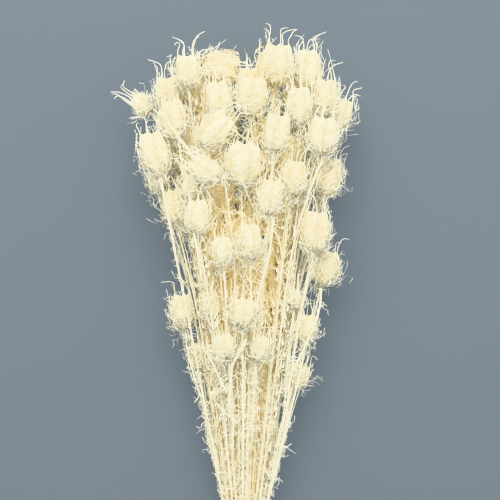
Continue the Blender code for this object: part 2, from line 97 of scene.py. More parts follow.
# Each pod that the photograph shows: across and along in millimetres, layer from 0 at the floor to 1 on top,
# width and length in millimetres, and lean to the side in degrees
PODS_IN_VIEW = (
    (-43, 483, 0.75, 20, 26, -5),
    (-58, 466, 0.45, 21, 29, -8),
    (-35, 470, 0.60, 21, 32, -8),
    (-82, 457, 0.55, 14, 19, -58),
    (-72, 416, 0.60, 25, 37, -14),
    (-9, 488, 0.65, 24, 29, 105),
    (17, 489, 0.75, 28, 34, 4),
    (45, 486, 0.60, 22, 34, 2),
    (38, 455, 0.85, 20, 30, -3),
    (64, 462, 0.60, 20, 30, 3),
    (77, 450, 0.40, 22, 28, 22),
    (-54, 444, 0.75, 21, 33, -12),
    (-17, 460, 0.80, 21, 29, -4),
    (-12, 434, 0.97, 22, 32, 42),
    (2, 407, 1.00, 30, 34, 5),
    (-29, 402, 0.97, 19, 28, -62),
    (8, 462, 0.95, 25, 31, 3),
    (24, 432, 0.85, 21, 30, 8),
    (50, 430, 0.85, 24, 30, 5),
    (-56, 373, 0.50, 22, 30, -10),
    (-41, 388, 0.80, 17, 23, -6),
    (-29, 364, 0.92, 19, 28, -3),
    (15, 380, 0.95, 20, 28, 6),
    (40, 396, 0.85, 20, 28, 10),
    (64, 394, 0.55, 21, 26, 12),
    (60, 352, 0.60, 24, 33, 6),
    (60, 322, 0.50, 26, 29, 12),
    (4, 344, 0.95, 19, 28, 0),
    (-18, 336, 0.90, 18, 23, -5),
    (-45, 285, 0.50, 19, 29, -6),
    (-26, 290, 0.70, 15, 26, -2),
    (1, 286, 1.00, 20, 23, 4),
    (-11, 258, 1.00, 15, 21, -12),
    (10, 256, 0.95, 15, 21, 14),
    (-40, 248, 0.50, 16, 24, -8),
    (44, 297, 0.60, 10, 15, 4),
    (47, 272, 0.60, 18, 23, 6),
    (40, 232, 0.55, 18, 20, 24),
)

# Rows of pods under those: how far along in millimetres, how many, and in which layer
PODS_BELOW = (
    (292, 1, 0.0),
    (330, 2, 0.0),
    (366, 3, 0.0),
    (402, 4, 0.0),
    (438, 4, 0.0),
    (474, 3, 0.0),
    (350, 1, 0.4),
    (384, 2, 0.4),
    (420, 2, 0.4),
)
BELOW_WIDTH = (19 * MM, 25 * MM)
BELOW_SLENDER = (1.2, 1.38)  # length over width

# A pod's outline, finer than the solid's: height over its base and radius, as shares of its length and of its
# full radius
POD_PROFILE = (
    (0, 0.09), (0.03, 0.2), (0.14, 0.66), (0.44, 1),
    (0.76, 0.92), (0.9, 0.74), (0.95, 0.44), (0.955, 0.02),
)

# From the twine's middle to a strand's middle
STRAND_OFFSET = 0.48 * MM

# The lengths that the strands' twist is worked out from in the knot and in a tail. The knot's own line is only
# 26 mm long, so its strands are twisted more tightly.
KNOT_TWIST = 36 * MM
TAIL_TWIST = 14 * MM

# Rounds of settling, then the strengths in each: pods apart, stems off pods, stems apart, smoothing, homing
SETTLING = ((160, 0.25, 0.45, 0.35, 0.3, 0.01), (140, 0.2, 0.4, 0.3, 0.12, 0.0))

# What the view is centred on: across, along, and halfway up the bunch
VIEW_MIDDLE = (5 * MM, 337 * MM, 50 * MM)
FLOOR_REACH = 4.0

# Each light's place from the middle of the view, its width and its colour
LAMPS = (
    ("key", (-0.12, 0.9, 1.15), 1.2, (1.0, 0.98, 0.96)),
    ("fill", (0.9, 0.0, 1.3), 1.5, (0.96, 0.98, 1.0)),
    ("rear", (0.0, 0.75, 0.5), 0.7, (1.0, 1.0, 1.0)),
)

# How much of the bunch's depth its stems take up
STEMS_SHARE_OF_DEPTH = 0.84

# How far the threads may stand past the solids' box, over how far they are pressed together before that, and
# how high every strand's middle stays over the floor
PAST_BOX = (9 * MM, 9 * MM, 8 * MM)
PRESSED = 6 * MM
LEAST_HEIGHT = 0.7 * MM

# The finishes of a stem's piece, in the order of its materials
SKIN, STALK, THREAD = 0, 1, 2
VEIN_COLOUR = (0.98, 0.96, 0.82, 1)

# Stalks that broke and lie across the front of the bunch: across and along in millimetres
FALLEN_STALKS = (
    ((-19, 376), (-38, 408), (-60, 438), (-75, 454)),
    ((-34, 312), (-40, 348), (-49, 374), (-60, 398)),
    ((41, 348), (47, 385), (57, 417), (77, 441)),
    ((-31, 254), (-22, 236), (-14, 219)),
    ((-31, 254), (-24, 253), (-19, 247), (-17, 240)),
    ((-28, 218), (-19, 221), (-8, 225)),
    ((-28, 218), (-22, 209), (-16, 203), (-6, 195)),
    ((2, 264), (-5, 251), (-9, 243), (-11, 226), (-12, 205)),
    ((64, 305), (63, 290), (57, 272), (47, 250), (40, 236)),
    ((24, 362), (20, 330), (12, 300), (8, 262)),
    ((-2, 395), (8, 372), (26, 352), (32, 330)),
    ((-44, 410), (-30, 385), (-22, 372), (-8, 366)),
)


def bunch_depth(y):
    """Depth of the bunch, from the surface up, at a place along it."""
    share = np.clip((y - TIE_Y) / (FULL_DEPTH_Y - TIE_Y), 0, 1)
    return TIE_DEPTH + share * (FULL_DEPTH - TIE_DEPTH)


def half_width(y):
    """Half the width of the bunch: a cone that closes again over the topmost heads."""
    return np.minimum(26 * MM + 0.19 * (y - 140 * MM), 82 * MM - 0.9 * np.maximum(0.0, y - 455 * MM))


def all_pods():
    """Every pod as a row: x, y, layer, width, length, lean, rise and roll, in metres and radians."""
    rng = np.random.default_rng(SEED)
    rows = []
    for x, y, layer, width, length, lean in PODS_IN_VIEW:
        rows.append((x * MM, y * MM, layer, width * MM, length * MM, math.radians(lean)))
    for along, across, layer in PODS_BELOW:
        reach = half_width(along * MM) - BELOW_WIDTH[0] / 2
        for i in range(across):
            place = (2 * i + 1) / across - 1
            width = rng.uniform(*BELOW_WIDTH)
            length = width * rng.uniform(*BELOW_SLENDER)
            x = reach * place + rng.uniform(-3, 3) * MM
            y = along * MM + rng.uniform(-8, 8) * MM
            rows.append((x, y, layer, width, length, math.radians(12 * place + rng.uniform(-6, 6))))
    rows = np.array(rows)
    rise = np.radians((rows[:, 2] - 0.5) * 36 + rng.uniform(-8, 8, len(rows)))
    rise[rows[:, 2] == 0] = 0
    roll = rng.uniform(0, 2 * math.pi, len(rows))
    return np.column_stack([rows, rise, roll])


def pod_axes(pods):
    """Unit vector from each pod's base to its tip."""
    lean, rise = pods[:, 5], pods[:, 6]
    return np.column_stack([np.sin(lean) * np.cos(rise), np.cos(lean) * np.cos(rise), np.sin(rise)])


def parents_of(pods, centres):
    """For each pod, the pod whose stem it forks from, or -1 if it has a stem of its own.

    A narrow pod forks from the nearest wide pod further up whose stem carries no other shoot.
    """
    parents = np.full(len(pods), -1)
    apex = np.array([0, TIE_Y, TIE_DEPTH / 2])
    bearing = (centres - apex) / (centres[:, 1] - TIE_Y)[:, None]
    for i in np.flatnonzero(pods[:, 3] < SIDE_SHOOT_WIDTH):
        free = (pods[:, 3] >= SIDE_SHOOT_WIDTH) & (centres[:, 1] > centres[i, 1] + 25 * MM)
        free[parents[parents >= 0]] = False
        apart = np.linalg.norm(bearing - bearing[i], axis=1)
        parents[i] = np.argmin(np.where(free, apart, np.inf))
    return parents


def lay_out():
    """Settles the pods and stems together, so that no two touch.

    Each pod keeps clear of the others as four balls along its axis: neck, lower body, upper body and horns.
    Each stem is one point on every cross-section of the bunch. In each round, things that are too close are
    pushed apart, stems are smoothed, pods drift back towards their own places, and the tie draws the stems
    together.
    """
    pods = all_pods()
    n = len(pods)
    axes = pod_axes(pods)
    radius, length = pods[:, 3] / 2, pods[:, 4]
    height = radius + pods[:, 2] * (bunch_depth(pods[:, 1]) - 2 * radius)
    target = np.column_stack([pods[:, 0], pods[:, 1], height])
    on_surface = pods[:, 2] == 0
    lowest = radius * np.where(on_surface, 1 - FLAT_SPOT, 1) + np.where(on_surface, 0, BRACT_REACH)
    target[on_surface, 2] = lowest[on_surface]
    centres = target.copy()
    parents = parents_of(pods, centres)

    up = np.array([0.0, 1.0, 0.0])
    into_neck = (axes + up) / np.linalg.norm(axes + up, axis=1)[:, None]
    base = -axes * (length / 2)[:, None]
    foot = base - into_neck * NECK
    ball_at = np.stack(
        [
            base - into_neck * NECK / 2,
            axes * (-0.14 * length)[:, None],
            axes * (0.14 * length)[:, None],
            axes * (length / 2 + HORN_ZONE)[:, None],
        ],
        axis=1,
    )
    ball_radius = np.column_stack(
        [np.full(n, 3 * MM), radius + 2.2 * MM, 0.98 * radius + 0.8 * MM, 0.62 * radius + 3.4 * MM]
    )
    owner = np.repeat(np.arange(n), 4)
    ball_radius = ball_radius.ravel()
    same_pod = owner[:, None] == owner[None, :]

    level_y = np.arange(0, target[:, 1].max(), LEVEL)
    end_y = centres[:, 1] + foot[:, 1]
    last = np.floor(end_y / LEVEL - 0.4).astype(int)
    first = np.where(parents >= 0, np.maximum(last - int(SHOOT_LENGTH / LEVEL), 0), 0)
    level = np.arange(len(level_y))
    tie_centre = np.array([0, TIE_DEPTH / 2])
    gather_level = int(round(GATHER_Y / LEVEL))
    drawn = np.interp(level_y, *zip(*GATHERED))[None, :gather_level, None]
    gather_centre = np.array([0, bunch_depth(GATHER_Y) / 2])
    climb = np.clip((level_y - TIE_Y) / (GATHER_Y - TIE_Y), 0, 1)[None, :gather_level, None]
    middle = tie_centre + climb * (gather_centre - tie_centre)
    there = (level[None, :] <= last[:, None]) & (level[None, :] >= first[:, None])

    def ends():
        return (centres + foot)[:, [0, 2]]

    share = np.clip((level_y[None, :] - TIE_Y) / (end_y[:, None] - TIE_Y), -0.12, 1)
    gather = tie_centre + 0.1 * (ends() - tie_centre)
    stems = gather[:, None, :] + share[:, :, None] * (ends() - gather)[:, None, :]
    straight = stems.copy()

    def push_apart_stems(amount):
        gap = stems[:, None] - stems[None, :]
        distance = np.sqrt((gap**2).sum(-1)) + 1e-9
        close = np.clip(STEM_SPACING - distance, 0, None) * (there[:, None] & there[None, :])
        stems[...] += amount * ((close / distance)[..., None] * gap).sum(1)

    def push_apart_pods(amount):
        balls = (centres[:, None] + ball_at).reshape(-1, 3)
        gap = balls[:, None] - balls[None, :]
        distance = np.sqrt((gap**2).sum(-1)) + 1e-9
        close = np.clip(ball_radius[:, None] + ball_radius[None, :] - distance, 0, None)
        close[same_pod] = 0
        shove = ((close / distance)[..., None] * gap).sum(1).reshape(n, 4, 3).sum(1)
        centres[:, [0, 2]] += amount * shove[:, [0, 2]]

    def push_stems_off_pods(amount):
        balls = (centres[:, None] + ball_at).reshape(-1, 3)
        nearest = np.rint(balls[:, 1] / LEVEL).astype(int)
        for step in (-2, -1, 0, 1, 2):
            k = np.clip(nearest + step, 0, len(level_y) - 1)
            reach = np.sqrt(np.clip(ball_radius**2 - (level_y[k] - balls[:, 1]) ** 2, 0, None))
            gap = stems[:, k] - balls[None][..., [0, 2]]
            distance = np.sqrt((gap**2).sum(-1)) + 1e-9
            close = np.clip(reach[None] + STEM_TO_POD - distance, 0, None)
            close = close * (reach > 0)[None] * there[:, k]
            close[np.arange(n)[:, None] == owner[None]] = 0
            shove = (close / distance)[..., None] * gap
            np.add.at(stems, (slice(None), k), amount * shove)
            back = shove.sum(0).reshape(n, 4, 2).sum(1)
            centres[:, [0, 2]] -= 0.1 * amount * back

    def tidy(smoothing, homing):
        ahead = np.concatenate([stems[:, 1:], stems[:, -1:]], axis=1)
        behind = np.concatenate([stems[:, :1], stems[:, :-1]], axis=1)
        beyond = level[None, :, None] > last[:, None, None]
        at_end = level[None, :, None] == last[:, None, None]
        ahead = np.where(at_end, ends()[:, None, :], ahead)
        stems[...] += smoothing * (ahead + behind - 2 * stems) + homing * (straight - stems)
        stems[...] = np.where(beyond, ends()[:, None, :], stems)
        stems[:, gather_level] += 0.02 * (gather_centre - stems[:, gather_level])
        stems[:, :gather_level] = middle + drawn * (stems[:, gather_level, None] - gather_centre)
        for i in np.flatnonzero(parents >= 0):
            stems[i, : first[i] + 1] = stems[parents[i], : first[i] + 1]
        stems[:, gather_level:, 1] = np.maximum(stems[:, gather_level:, 1], 1.5 * STEM_RADIUS_LOW)
        centres[:, [0, 2]] += 4 * homing * (target - centres)[:, [0, 2]]
        centres[:, 2] = np.where(on_surface, lowest, np.maximum(centres[:, 2], lowest))

    for rounds, pods_apart, stems_off_pods, stems_apart, smoothing, homing in SETTLING:
        for _ in range(rounds):
            push_apart_pods(pods_apart)
            push_stems_off_pods(stems_off_pods)
            push_apart_stems(stems_apart)
            tidy(smoothing, homing)
    return pods, axes, centres, foot, base, parents, stems, first, last, level_y


@functools.lru_cache(maxsize=1)
def growth():
    """The settled bunch in the frame's own place: each pod's axis, middle and base, and each stalk's line.

    The solids were moved sideways after they settled, until the middle of their box was the origin. The
    tie's solid shows by how much.
    """
    pods, axes, centres, foot, base, parents, stems, first, last, level_y = lay_out()
    tie_level = int(round(TIE_Y / LEVEL))
    held = stems[parents < 0, tie_level - 1 : tie_level + 2]
    held = np.concatenate([held[:, 1], *(0.65 * held[:, 1] + 0.35 * held[:, k] for k in (0, 2))])
    tie_middle = (held.min(0) + held.max(0)) / 2
    tie_inner = np.linalg.norm(held - tie_middle, axis=1).max() + STEM_RADIUS_LOW + TOUCH_GAP
    low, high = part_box("twine_tie")
    shift = np.array([(low[0] + high[0]) / 2 - tie_middle[0], (low[1] + high[1]) / 2 - TIE_Y, 0])
    lines = []
    for i in range(len(pods)):
        levels = range(first[i], last[i] + 1)
        run = np.array([(stems[i, k, 0], level_y[k], stems[i, k, 1]) for k in levels])
        begin, end = centres[i] + foot[i], centres[i] + base[i]
        t = np.linspace(0, 1, 6)[:, None]
        neck = (1 - t) ** 3 * begin + 3 * (1 - t) ** 2 * t * (begin + [0, NECK / 3, 0])
        neck = neck + 3 * (1 - t) * t**2 * (end - axes[i] * NECK / 3) + t**3 * end
        lines.append(np.concatenate([run, neck]) + shift)
    hub = np.array([tie_middle[0] + shift[0], TIE_Y + shift[1], tie_middle[1]])
    return {
        "pods": pods,
        "axes": axes,
        "middles": centres + shift,
        "bases": centres + base + shift,
        "parents": parents,
        "lines": lines,
        "shift": shift,
        "hub": hub,
        "inner": tie_inner,
    }


def run_along(line):
    """How far along a line each of its points lies."""
    return np.concatenate([[0], np.cumsum(np.linalg.norm(np.diff(line, axis=0), axis=1))])


def random_rows(rng, count, *limits):
    """Rows of random numbers, with a column for each pair of limits."""
    return np.stack([rng.uniform(low, high, count) for low, high in limits], 1)


def smooth_line(points, count):
    """Points evenly spaced along a smooth curve through the given ones.

    Between two given points the curve is the cubic whose slopes there are half the step between their
    neighbours (Catmull-Rom). It is drawn finely, then points are taken at equal shares of its length.
    """
    points = np.asarray(points, float)
    padded = np.concatenate([2 * points[:1] - points[1:2], points, 2 * points[-1:] - points[-2:-1]])
    p0, p1, p2, p3 = (padded[k : len(padded) - 3 + k, None] for k in range(4))
    t = np.linspace(0, 1, 12, endpoint=False)[None, :, None]
    fine = 0.5 * (
        2 * p1
        + (p2 - p0) * t
        + (2 * p0 - 5 * p1 + 4 * p2 - p3) * t**2
        + (3 * p1 - p0 - 3 * p2 + p3) * t**3
    )
    fine = np.concatenate([fine.reshape(-1, points.shape[1]), points[-1:]])
    reach = run_along(fine)
    at = np.linspace(0, reach[-1], count)
    return np.stack([np.interp(at, reach, fine[:, k]) for k in range(points.shape[1])], axis=1)


def tube_triangles(count, rings, sides):
    """Corners of the triangles of closed tubes: rings of corners, then one pole for each end.

    Each four-cornered cell between two rings is cut in two. Each end ring is closed by a fan to its pole.
    """
    k, j = np.meshgrid(np.arange(rings - 1), np.arange(sides), indexing="ij")
    a, b = k * sides + j, k * sides + (j + 1) % sides
    cells = np.stack([a, b, b + sides, a, b + sides, a + sides], axis=-1).reshape(-1, 3)
    rim = np.arange(sides)
    after = (rim + 1) % sides
    top = (rings - 1) * sides
    start = np.stack([np.full(sides, rings * sides), after, rim], axis=1)
    end = np.stack([np.full(sides, rings * sides + 1), top + rim, top + after], axis=1)
    one = np.concatenate([cells, start, end])
    size = rings * sides + 2
    return (one[None] + size * np.arange(count)[:, None, None]).reshape(-1, 3)


def sweep(paths, radii, sides, ridge=0.0, ridges=1):
    """Tubes round paths, as corner positions in the order that tube_triangles takes.

    A section is a circle across the path, drawn from a side vector that is carried from point to point by
    taking off the part of it that points along the path. Its radius is the given one times
    1 + ridge * cos(ridges * angle). The two poles are the path's ends.
    """
    along = np.gradient(paths, axis=1)
    along /= np.linalg.norm(along, axis=2, keepdims=True) + 1e-12
    side = np.empty_like(paths)
    across = np.where(np.abs(along[:, 0, 2:]) < 0.8, [[0.0, 0.0, 1.0]], [[1.0, 0.0, 0.0]])
    side[:, 0] = np.cross(along[:, 0], across)
    for k in range(paths.shape[1]):
        carried = side[:, max(k - 1, 0)]
        carried = carried - along[:, k] * (carried * along[:, k]).sum(1, keepdims=True)
        side[:, k] = carried / (np.linalg.norm(carried, axis=1, keepdims=True) + 1e-12)
    other = np.cross(along, side)
    angle = 2 * np.pi * np.arange(sides) / sides
    out = np.cos(angle)[:, None] * side[:, :, None] + np.sin(angle)[:, None] * other[:, :, None]
    size = radii[:, :, None, None] * (1 + ridge * np.cos(ridges * angle))[:, None]
    rings = paths[:, :, None] + size * out
    return np.concatenate([rings.reshape(len(paths), -1, 3), paths[:, [0, -1]]], axis=1)


def curled(start, reach, wave, points, rng, turns=(0.5, 1.5), kink=0.45):
    """Curling and kinking paths in any three coordinates, each from its start.

    A path is start + reach * t, plus a sine of t in each coordinate that grows with t up to the wave's height
    and has its own number of turns and phase. The kink adds a random step at each point, that share of the
    wave's height wide. t runs from 0 to 1, and the steps are whole past a quarter of the way.
    """
    t = np.linspace(0, 1, points)[None, :, None]
    turns = rng.uniform(*turns, (len(start), 1, 3))
    phase = rng.uniform(0, 2 * np.pi, (len(start), 1, 3))
    wobble = t * (np.sin(2 * np.pi * turns * t + phase) - np.sin(phase))
    steps = kink * np.minimum(1, 4 * t) * rng.normal(size=(len(start), points, 3))
    return start[:, None] + reach[:, None] * t + np.asarray(wave) * (wobble + steps)


def point_along(paths, shares):
    """The point of each path at its share of the way, between the two nearest points of the path."""
    place = np.clip(shares, 0, 1) * (paths.shape[1] - 1)
    k = np.minimum(place.astype(int), paths.shape[1] - 2)
    part = (place - k)[:, None]
    row = np.arange(len(paths))
    return paths[row, k] * (1 - part) + paths[row, k + 1] * part


class Growing:
    """Gathers the surfaces of one piece: corner positions, triangles, finish and growth marks.

    The marks are three numbers at each corner: the strand's own tint, how deep it lies in the bunch, and
    the relief, from 0 in a crease to 1 on a ridge. The depth is worked out when the piece is finished.
    """

    def __init__(self):
        self.corners, self.triangles, self.finish, self.marks, self.total = [], [], [], [], 0

    def add(self, corners, triangles, finish, marks):
        """Adds one surface. corners and marks have three numbers in each row."""
        self.corners.append(corners.reshape(-1, 3))
        self.marks.append(np.broadcast_to(marks, corners.shape).reshape(-1, 3))
        self.triangles.append(triangles + self.total)
        self.finish.append(np.full(len(triangles), finish))
        self.total += corners.size // 3

    def add_strands(self, paths, radii, sides, finish, tints, ridge=0.0, ridges=1, hollow=0.0):
        """Adds tubes round paths, with one tint for each.

        The radii are given for each point of each path, or once for all paths. A hollow sinks the middle of
        each first end that far.
        """
        corners = sweep(paths, np.broadcast_to(radii, paths.shape[:2]), sides, ridge, ridges)
        ahead = paths[:, 1] - paths[:, 0]
        corners[:, -2] += hollow * ahead / np.linalg.norm(ahead, axis=1, keepdims=True)
        rings = paths.shape[1]
        # Relief for the painted shade: with ridges, the furrows between them get the stain colour.
        lift = np.tile(0.5 + 0.5 * np.cos(ridges * 2 * np.pi * np.arange(sides) / sides), rings)
        lift = np.concatenate([lift, [0.5, 0.5]]) if ridge else np.full(rings * sides + 2, 0.6)
        marks = np.zeros(corners.shape)
        marks[..., 0] = tints[:, None]
        marks[..., 2] = lift
        # The sunken end is marked as a crease, so it gets painted shade.
        if hollow:
            marks[:, -2, 2] = 0
        self.add(corners, tube_triangles(len(paths), rings, sides), finish, marks)

    def finished(self, name, materials):
        """The piece as a mesh object at the origin, shaded smooth, with its marks in "growth"."""
        corners = np.concatenate(self.corners)
        triangles = np.concatenate(self.triangles)
        mesh = bpy.data.meshes.new(name)
        mesh.vertices.add(len(corners))
        mesh.vertices.foreach_set("co", corners.astype(np.float32).ravel())
        mesh.loops.add(triangles.size)
        mesh.loops.foreach_set("vertex_index", triangles.astype(np.int32).ravel())
        mesh.polygons.add(len(triangles))
        mesh.polygons.foreach_set("loop_start", np.arange(0, triangles.size, 3, dtype=np.int32))
        mesh.polygons.foreach_set("material_index", np.concatenate(self.finish).astype(np.int32))
        mesh.polygons.foreach_set("use_smooth", np.ones(len(triangles), bool))
        marks = np.concatenate(self.marks)
        marks[:, 1] = depth_in_bunch(corners)
        growth_marks = mesh.attributes.new("growth", "FLOAT_VECTOR", "POINT")
        growth_marks.data.foreach_set("vector", marks.astype(np.float32).ravel())
        for material in materials:
            mesh.materials.append(material)
        mesh.update()
        piece = bpy.data.objects.new(name, mesh)
        bpy.context.scene.collection.objects.link(piece)
        return piece


def depth_in_bunch(points):
    """0 at the bunch's outside and 1 in its core.

    With e the offset from the stems' middle line, its parts measured in half the stems' width and depth
    there, the depth is 1 - e, spread so that it starts at e = 0.95 and is whole at e = 0.45.
    """
    shift = growth()["shift"]
    y = points[:, 1] - shift[1]
    deep, wide = STEMS_SHARE_OF_DEPTH * bunch_depth(y) / 2, np.maximum(half_width(y), 12 * MM)
    e = np.hypot((points[:, 0] - shift[0]) / wide, (points[:, 2] - deep) / deep)
    return np.clip((0.95 - e) / 0.5, 0, 1)


def fine_radii(places, radius, taper):
    """Radii along threads: the given taper, and finer near the bunch's outside, where single ones show."""
    inner = depth_in_bunch(places.reshape(-1, 3)).reshape(places.shape[:2])
    return radius * taper * (0.6 + 0.4 * inner)


def inside_limits(points):
    """Keeps points off the floor, and within a few millimetres of the solids' own box.

    Near a limit, what goes further towards it is pressed together by a hyperbolic tangent.
    """
    low, high = np.array(CAD_BOX[0]), np.array(CAD_BOX[1])
    middle = (low + high) / 2
    soft = (high - low) / 2 + PAST_BOX - PRESSED
    offset = points - middle
    over = np.maximum(np.abs(offset) - soft, 0) / PRESSED
    kept = middle + np.sign(offset) * (np.minimum(np.abs(offset), soft) + PRESSED * np.tanh(over))
    height = np.where(points[..., 2] > middle[2], kept[..., 2], points[..., 2])
    kept[..., 2] = np.maximum(height, LEAST_HEIGHT)
    return kept


def add_threads(piece, places, thick, look, rng):
    """Adds threads along the given places, that many times the usual thickness and half of it at the tip."""
    taper = thick * np.interp(np.linspace(0, 1, places.shape[1]), [0, 0.3, 1], [1, 0.95, 0.5])
    radii = fine_radii(places, look.thread_radius, taper)
    piece.add_strands(places, radii, 3, THREAD, rng.uniform(0, 1, len(places)))


def off_the_pods(points, own=()):
    """Moves points that lie in a pod out to its skin.

    A pod is taken as the ellipsoid of its width and length. With e the length of a point's offset from the
    middle, each part measured in half axes, a point with e under 1 moves to its offset over e.
    """
    bunch = growth()
    flat = points.reshape(-1, 3).copy()
    for i, (middle, axis) in enumerate(zip(bunch["middles"], bunch["axes"])):
        if i in own:
            continue
        wide, long = bunch["pods"][i, 3] / 2 + 0.5 * MM, bunch["pods"][i, 4] / 2 + 0.5 * MM
        near = np.flatnonzero(np.abs(flat - middle).max(1) < max(wide, long))
        if not len(near):
            continue
        offset = flat[near] - middle
        up = offset @ axis
        out = np.linalg.norm(offset - up[:, None] * axis, axis=1)
        e = np.maximum(np.sqrt((up / long) ** 2 + (out / wide) ** 2), 0.35)
        flat[near] = middle + offset / np.minimum(e, 1)[:, None]
    return flat.reshape(points.shape)


def kept_clear(points, own=()):
    """Moves points out of the pods, except for the given ones, then off the floor and within the limits."""
    return inside_limits(off_the_pods(points, own))


def pod_frame(i):
    """The pod's base, its axis, and two directions across it, as the solids have them."""
    bunch = growth()
    axis = bunch["axes"][i]
    side = np.cross(axis, [0.0, 0.0, 1.0])
    side /= np.linalg.norm(side)
    return bunch["bases"][i], axis, side, np.cross(axis, side)


def round_pod(i, bearing, height, out):
    """Points near pod i from their bearing in radians, their height over its base, and their distance out."""
    bottom, axis, side, other = pod_frame(i)
    across = np.cos(bearing)[..., None] * side + np.sin(bearing)[..., None] * other
    return bottom + height[..., None] * axis + out[..., None] * across


def skin_radius(share):
    """A pod's radius at a share of its height, as a share of its full radius, and on above the crown."""
    heights = [0, 0.03, 0.14, 0.44, 0.78, 0.94, 1.15]
    return np.interp(share, heights, [0.16, 0.3, 0.69, 1.0, 0.93, 0.8, 0.72])


def grow_pod(piece, i, look):
    """The skin of pod i: five lobes round a drawn-out profile, wrinkled like paper.

    Radius = profile(height) * (1 - groove * ((1 - cos 5a) / 2)^2 + ribs + net + wrinkles - dents), where a
    is the bearing from a lobe's middle. Ribs are cos(3 * 5a) made narrow, the net is a cosine of the height
    that is bent by 5a, a wrinkle is 1 - 2 |sin(m a + n height)| for whole m, and a dent is a bell curve. Near
    the crown each lobe's middle rises to a corner, its grooves sink, and the lobes turn to meet their horns.
    """
    pods = growth()["pods"]
    rng = np.random.default_rng([SEED, 31, i])
    radius, length, roll = pods[i, 3] / 2, pods[i, 4], pods[i, 7]
    rows, columns = look.pod_rows, look.pod_columns
    if i >= len(PODS_IN_VIEW):
        rows, columns = 2 * rows // 3, 2 * columns // 3
    outline = smooth_line(np.array(POD_PROFILE) * [2.4, 1], rows) / [2.4, 1]
    height = outline[:, :1]
    profile = outline[:, 1:]
    crown = np.clip((height - 0.74) / 0.2, 0, 1)
    crown = crown * crown * (3 - 2 * crown)
    middle = np.sin(np.pi * np.clip(height, 0, 1))
    bearing = roll + 2 * np.pi * np.arange(columns)[None] / columns
    lobe = 5 * (bearing - roll) - np.pi / 2 * crown
    groove = (0.5 - 0.5 * np.cos(lobe)) ** 2
    ribs = (0.5 + 0.5 * np.cos(3 * lobe)) ** 3
    net = (0.5 + 0.5 * np.cos(2 * np.pi * 7 * height + 1.7 * np.sin(lobe) + rng.uniform(0, 6))) ** 4
    wrinkle = np.zeros((rows, columns))
    for size in (1.0, 0.8, 0.6, 0.5, 0.4, 0.35, 0.3):
        m, n = rng.integers(-9, 10), rng.uniform(1, 9)
        wave = np.sin(m * bearing + n * np.pi * height + rng.uniform(0, 6))
        wrinkle += size * (1 - 2 * np.abs(wave))
    wrinkle *= 0.4
    dents = np.zeros((rows, columns))
    for _ in range(3):
        away = (np.cos(bearing - rng.uniform(0, 6.3)) - 1) / 0.09
        away = away - ((height - rng.uniform(0.3, 0.8)) / 0.2) ** 2
        dents += rng.uniform(0.0, 0.07) * np.exp(away)
    relief = 0.9 * ribs * look.rib_depth + 0.5 * net * look.rib_depth + wrinkle * look.wrinkle_depth
    swell = 1 - look.groove_depth * groove * (0.55 + 2.0 * crown) + middle * (relief - dents)
    corner = (0.5 + 0.5 * np.cos(lobe)) ** 2
    lift = (0.1 * corner - 0.02) * crown * np.clip((profile - 0.2) / 0.5, 0, 1)
    out = radius * profile * swell
    corners = round_pod(i, np.broadcast_to(bearing, out.shape), length * (height + lift), out)
    ends = round_pod(i, np.zeros(2), length * np.array([-0.01, 0.965]), np.zeros(2))
    corners = np.concatenate([corners.reshape(-1, 3), ends])
    corners[:, 2] = np.maximum(corners[:, 2], 0)
    marks = np.empty(corners.shape)
    marks[:, 0] = rng.uniform()
    marks[:, 1] = 0
    # Relief for the painted shade: grooves, wrinkle troughs, dents and the two end points get the stain
    # colour.
    high = 0.62 - 0.5 * groove + 0.25 * ribs + 0.35 * wrinkle * middle - 4 * dents
    marks[:, 2] = np.append(np.clip(high, 0, 1).ravel(), [0.3, 0.3])
    piece.add(corners, tube_triangles(1, rows, columns), SKIN, marks)


def horn_places(i):
    """Pod i's radius, its length, its five horns' bearings, and the solids' own draw for horns and bracts."""
    pods = growth()["pods"]
    bearing = pods[i, 7] + 2 * np.pi * (2 * np.arange(5) + 0.5) / 10
    return pods[i, 3] / 2, pods[i, 4], bearing, np.random.default_rng([SEED, i]).random((5, 8))


def grow_horns(piece, i, look):
    """The five horns on pod i, each a tapering strand from its lobe's crown through the solid's own bend.

    Each is three times as thick at its root, and goes on past the solid's tip for a few millimetres, where
    it curls off to one side.
    """
    radius, length, bearing, draw = horn_places(i)
    rng = np.random.default_rng([SEED, 32, i])
    horn = HORN_LENGTH * (0.8 + 0.3 * draw[:, 0])
    swing = bearing - 0.3 + 0.6 * draw[:, 1]
    height = [np.full(5, 0.8 * length), np.full(5, 0.95 * length), length + 0.35 * horn, length + 0.8 * horn]
    out = [np.full(5, 0.72), np.full(5, 0.7), 0.56 + 0.16 * draw[:, 2], 0.36 + 0.5 * draw[:, 3]]
    turn = [bearing, bearing, bearing, swing]
    curl = rng.uniform(-0.8, 0.8, 5)
    height.append(length + (0.8 + rng.uniform(0.1, 0.34, 5)) * horn)
    out.append(out[-1] + rng.uniform(0.0, 0.45, 5))
    turn.append(swing + curl * 0.5)
    height.append(height[-1] + rng.uniform(-0.15, 0.3, 5) * horn)
    out.append(out[-1] + rng.uniform(0.1, 0.7, 5))
    turn.append(swing + curl)
    bend = round_pod(i, np.stack(turn, 1), np.stack(height, 1), radius * np.stack(out, 1))
    paths = inside_limits(np.stack([smooth_line(line, 11) for line in bend]))
    taper = np.interp(np.linspace(0, 1, 11), [0, 0.15, 0.35, 1], [3.0, 1.5, 1.0, 0.55])
    piece.add_strands(paths, look.horn_radius * taper, 4, STALK, rng.uniform(0, 1, 5))


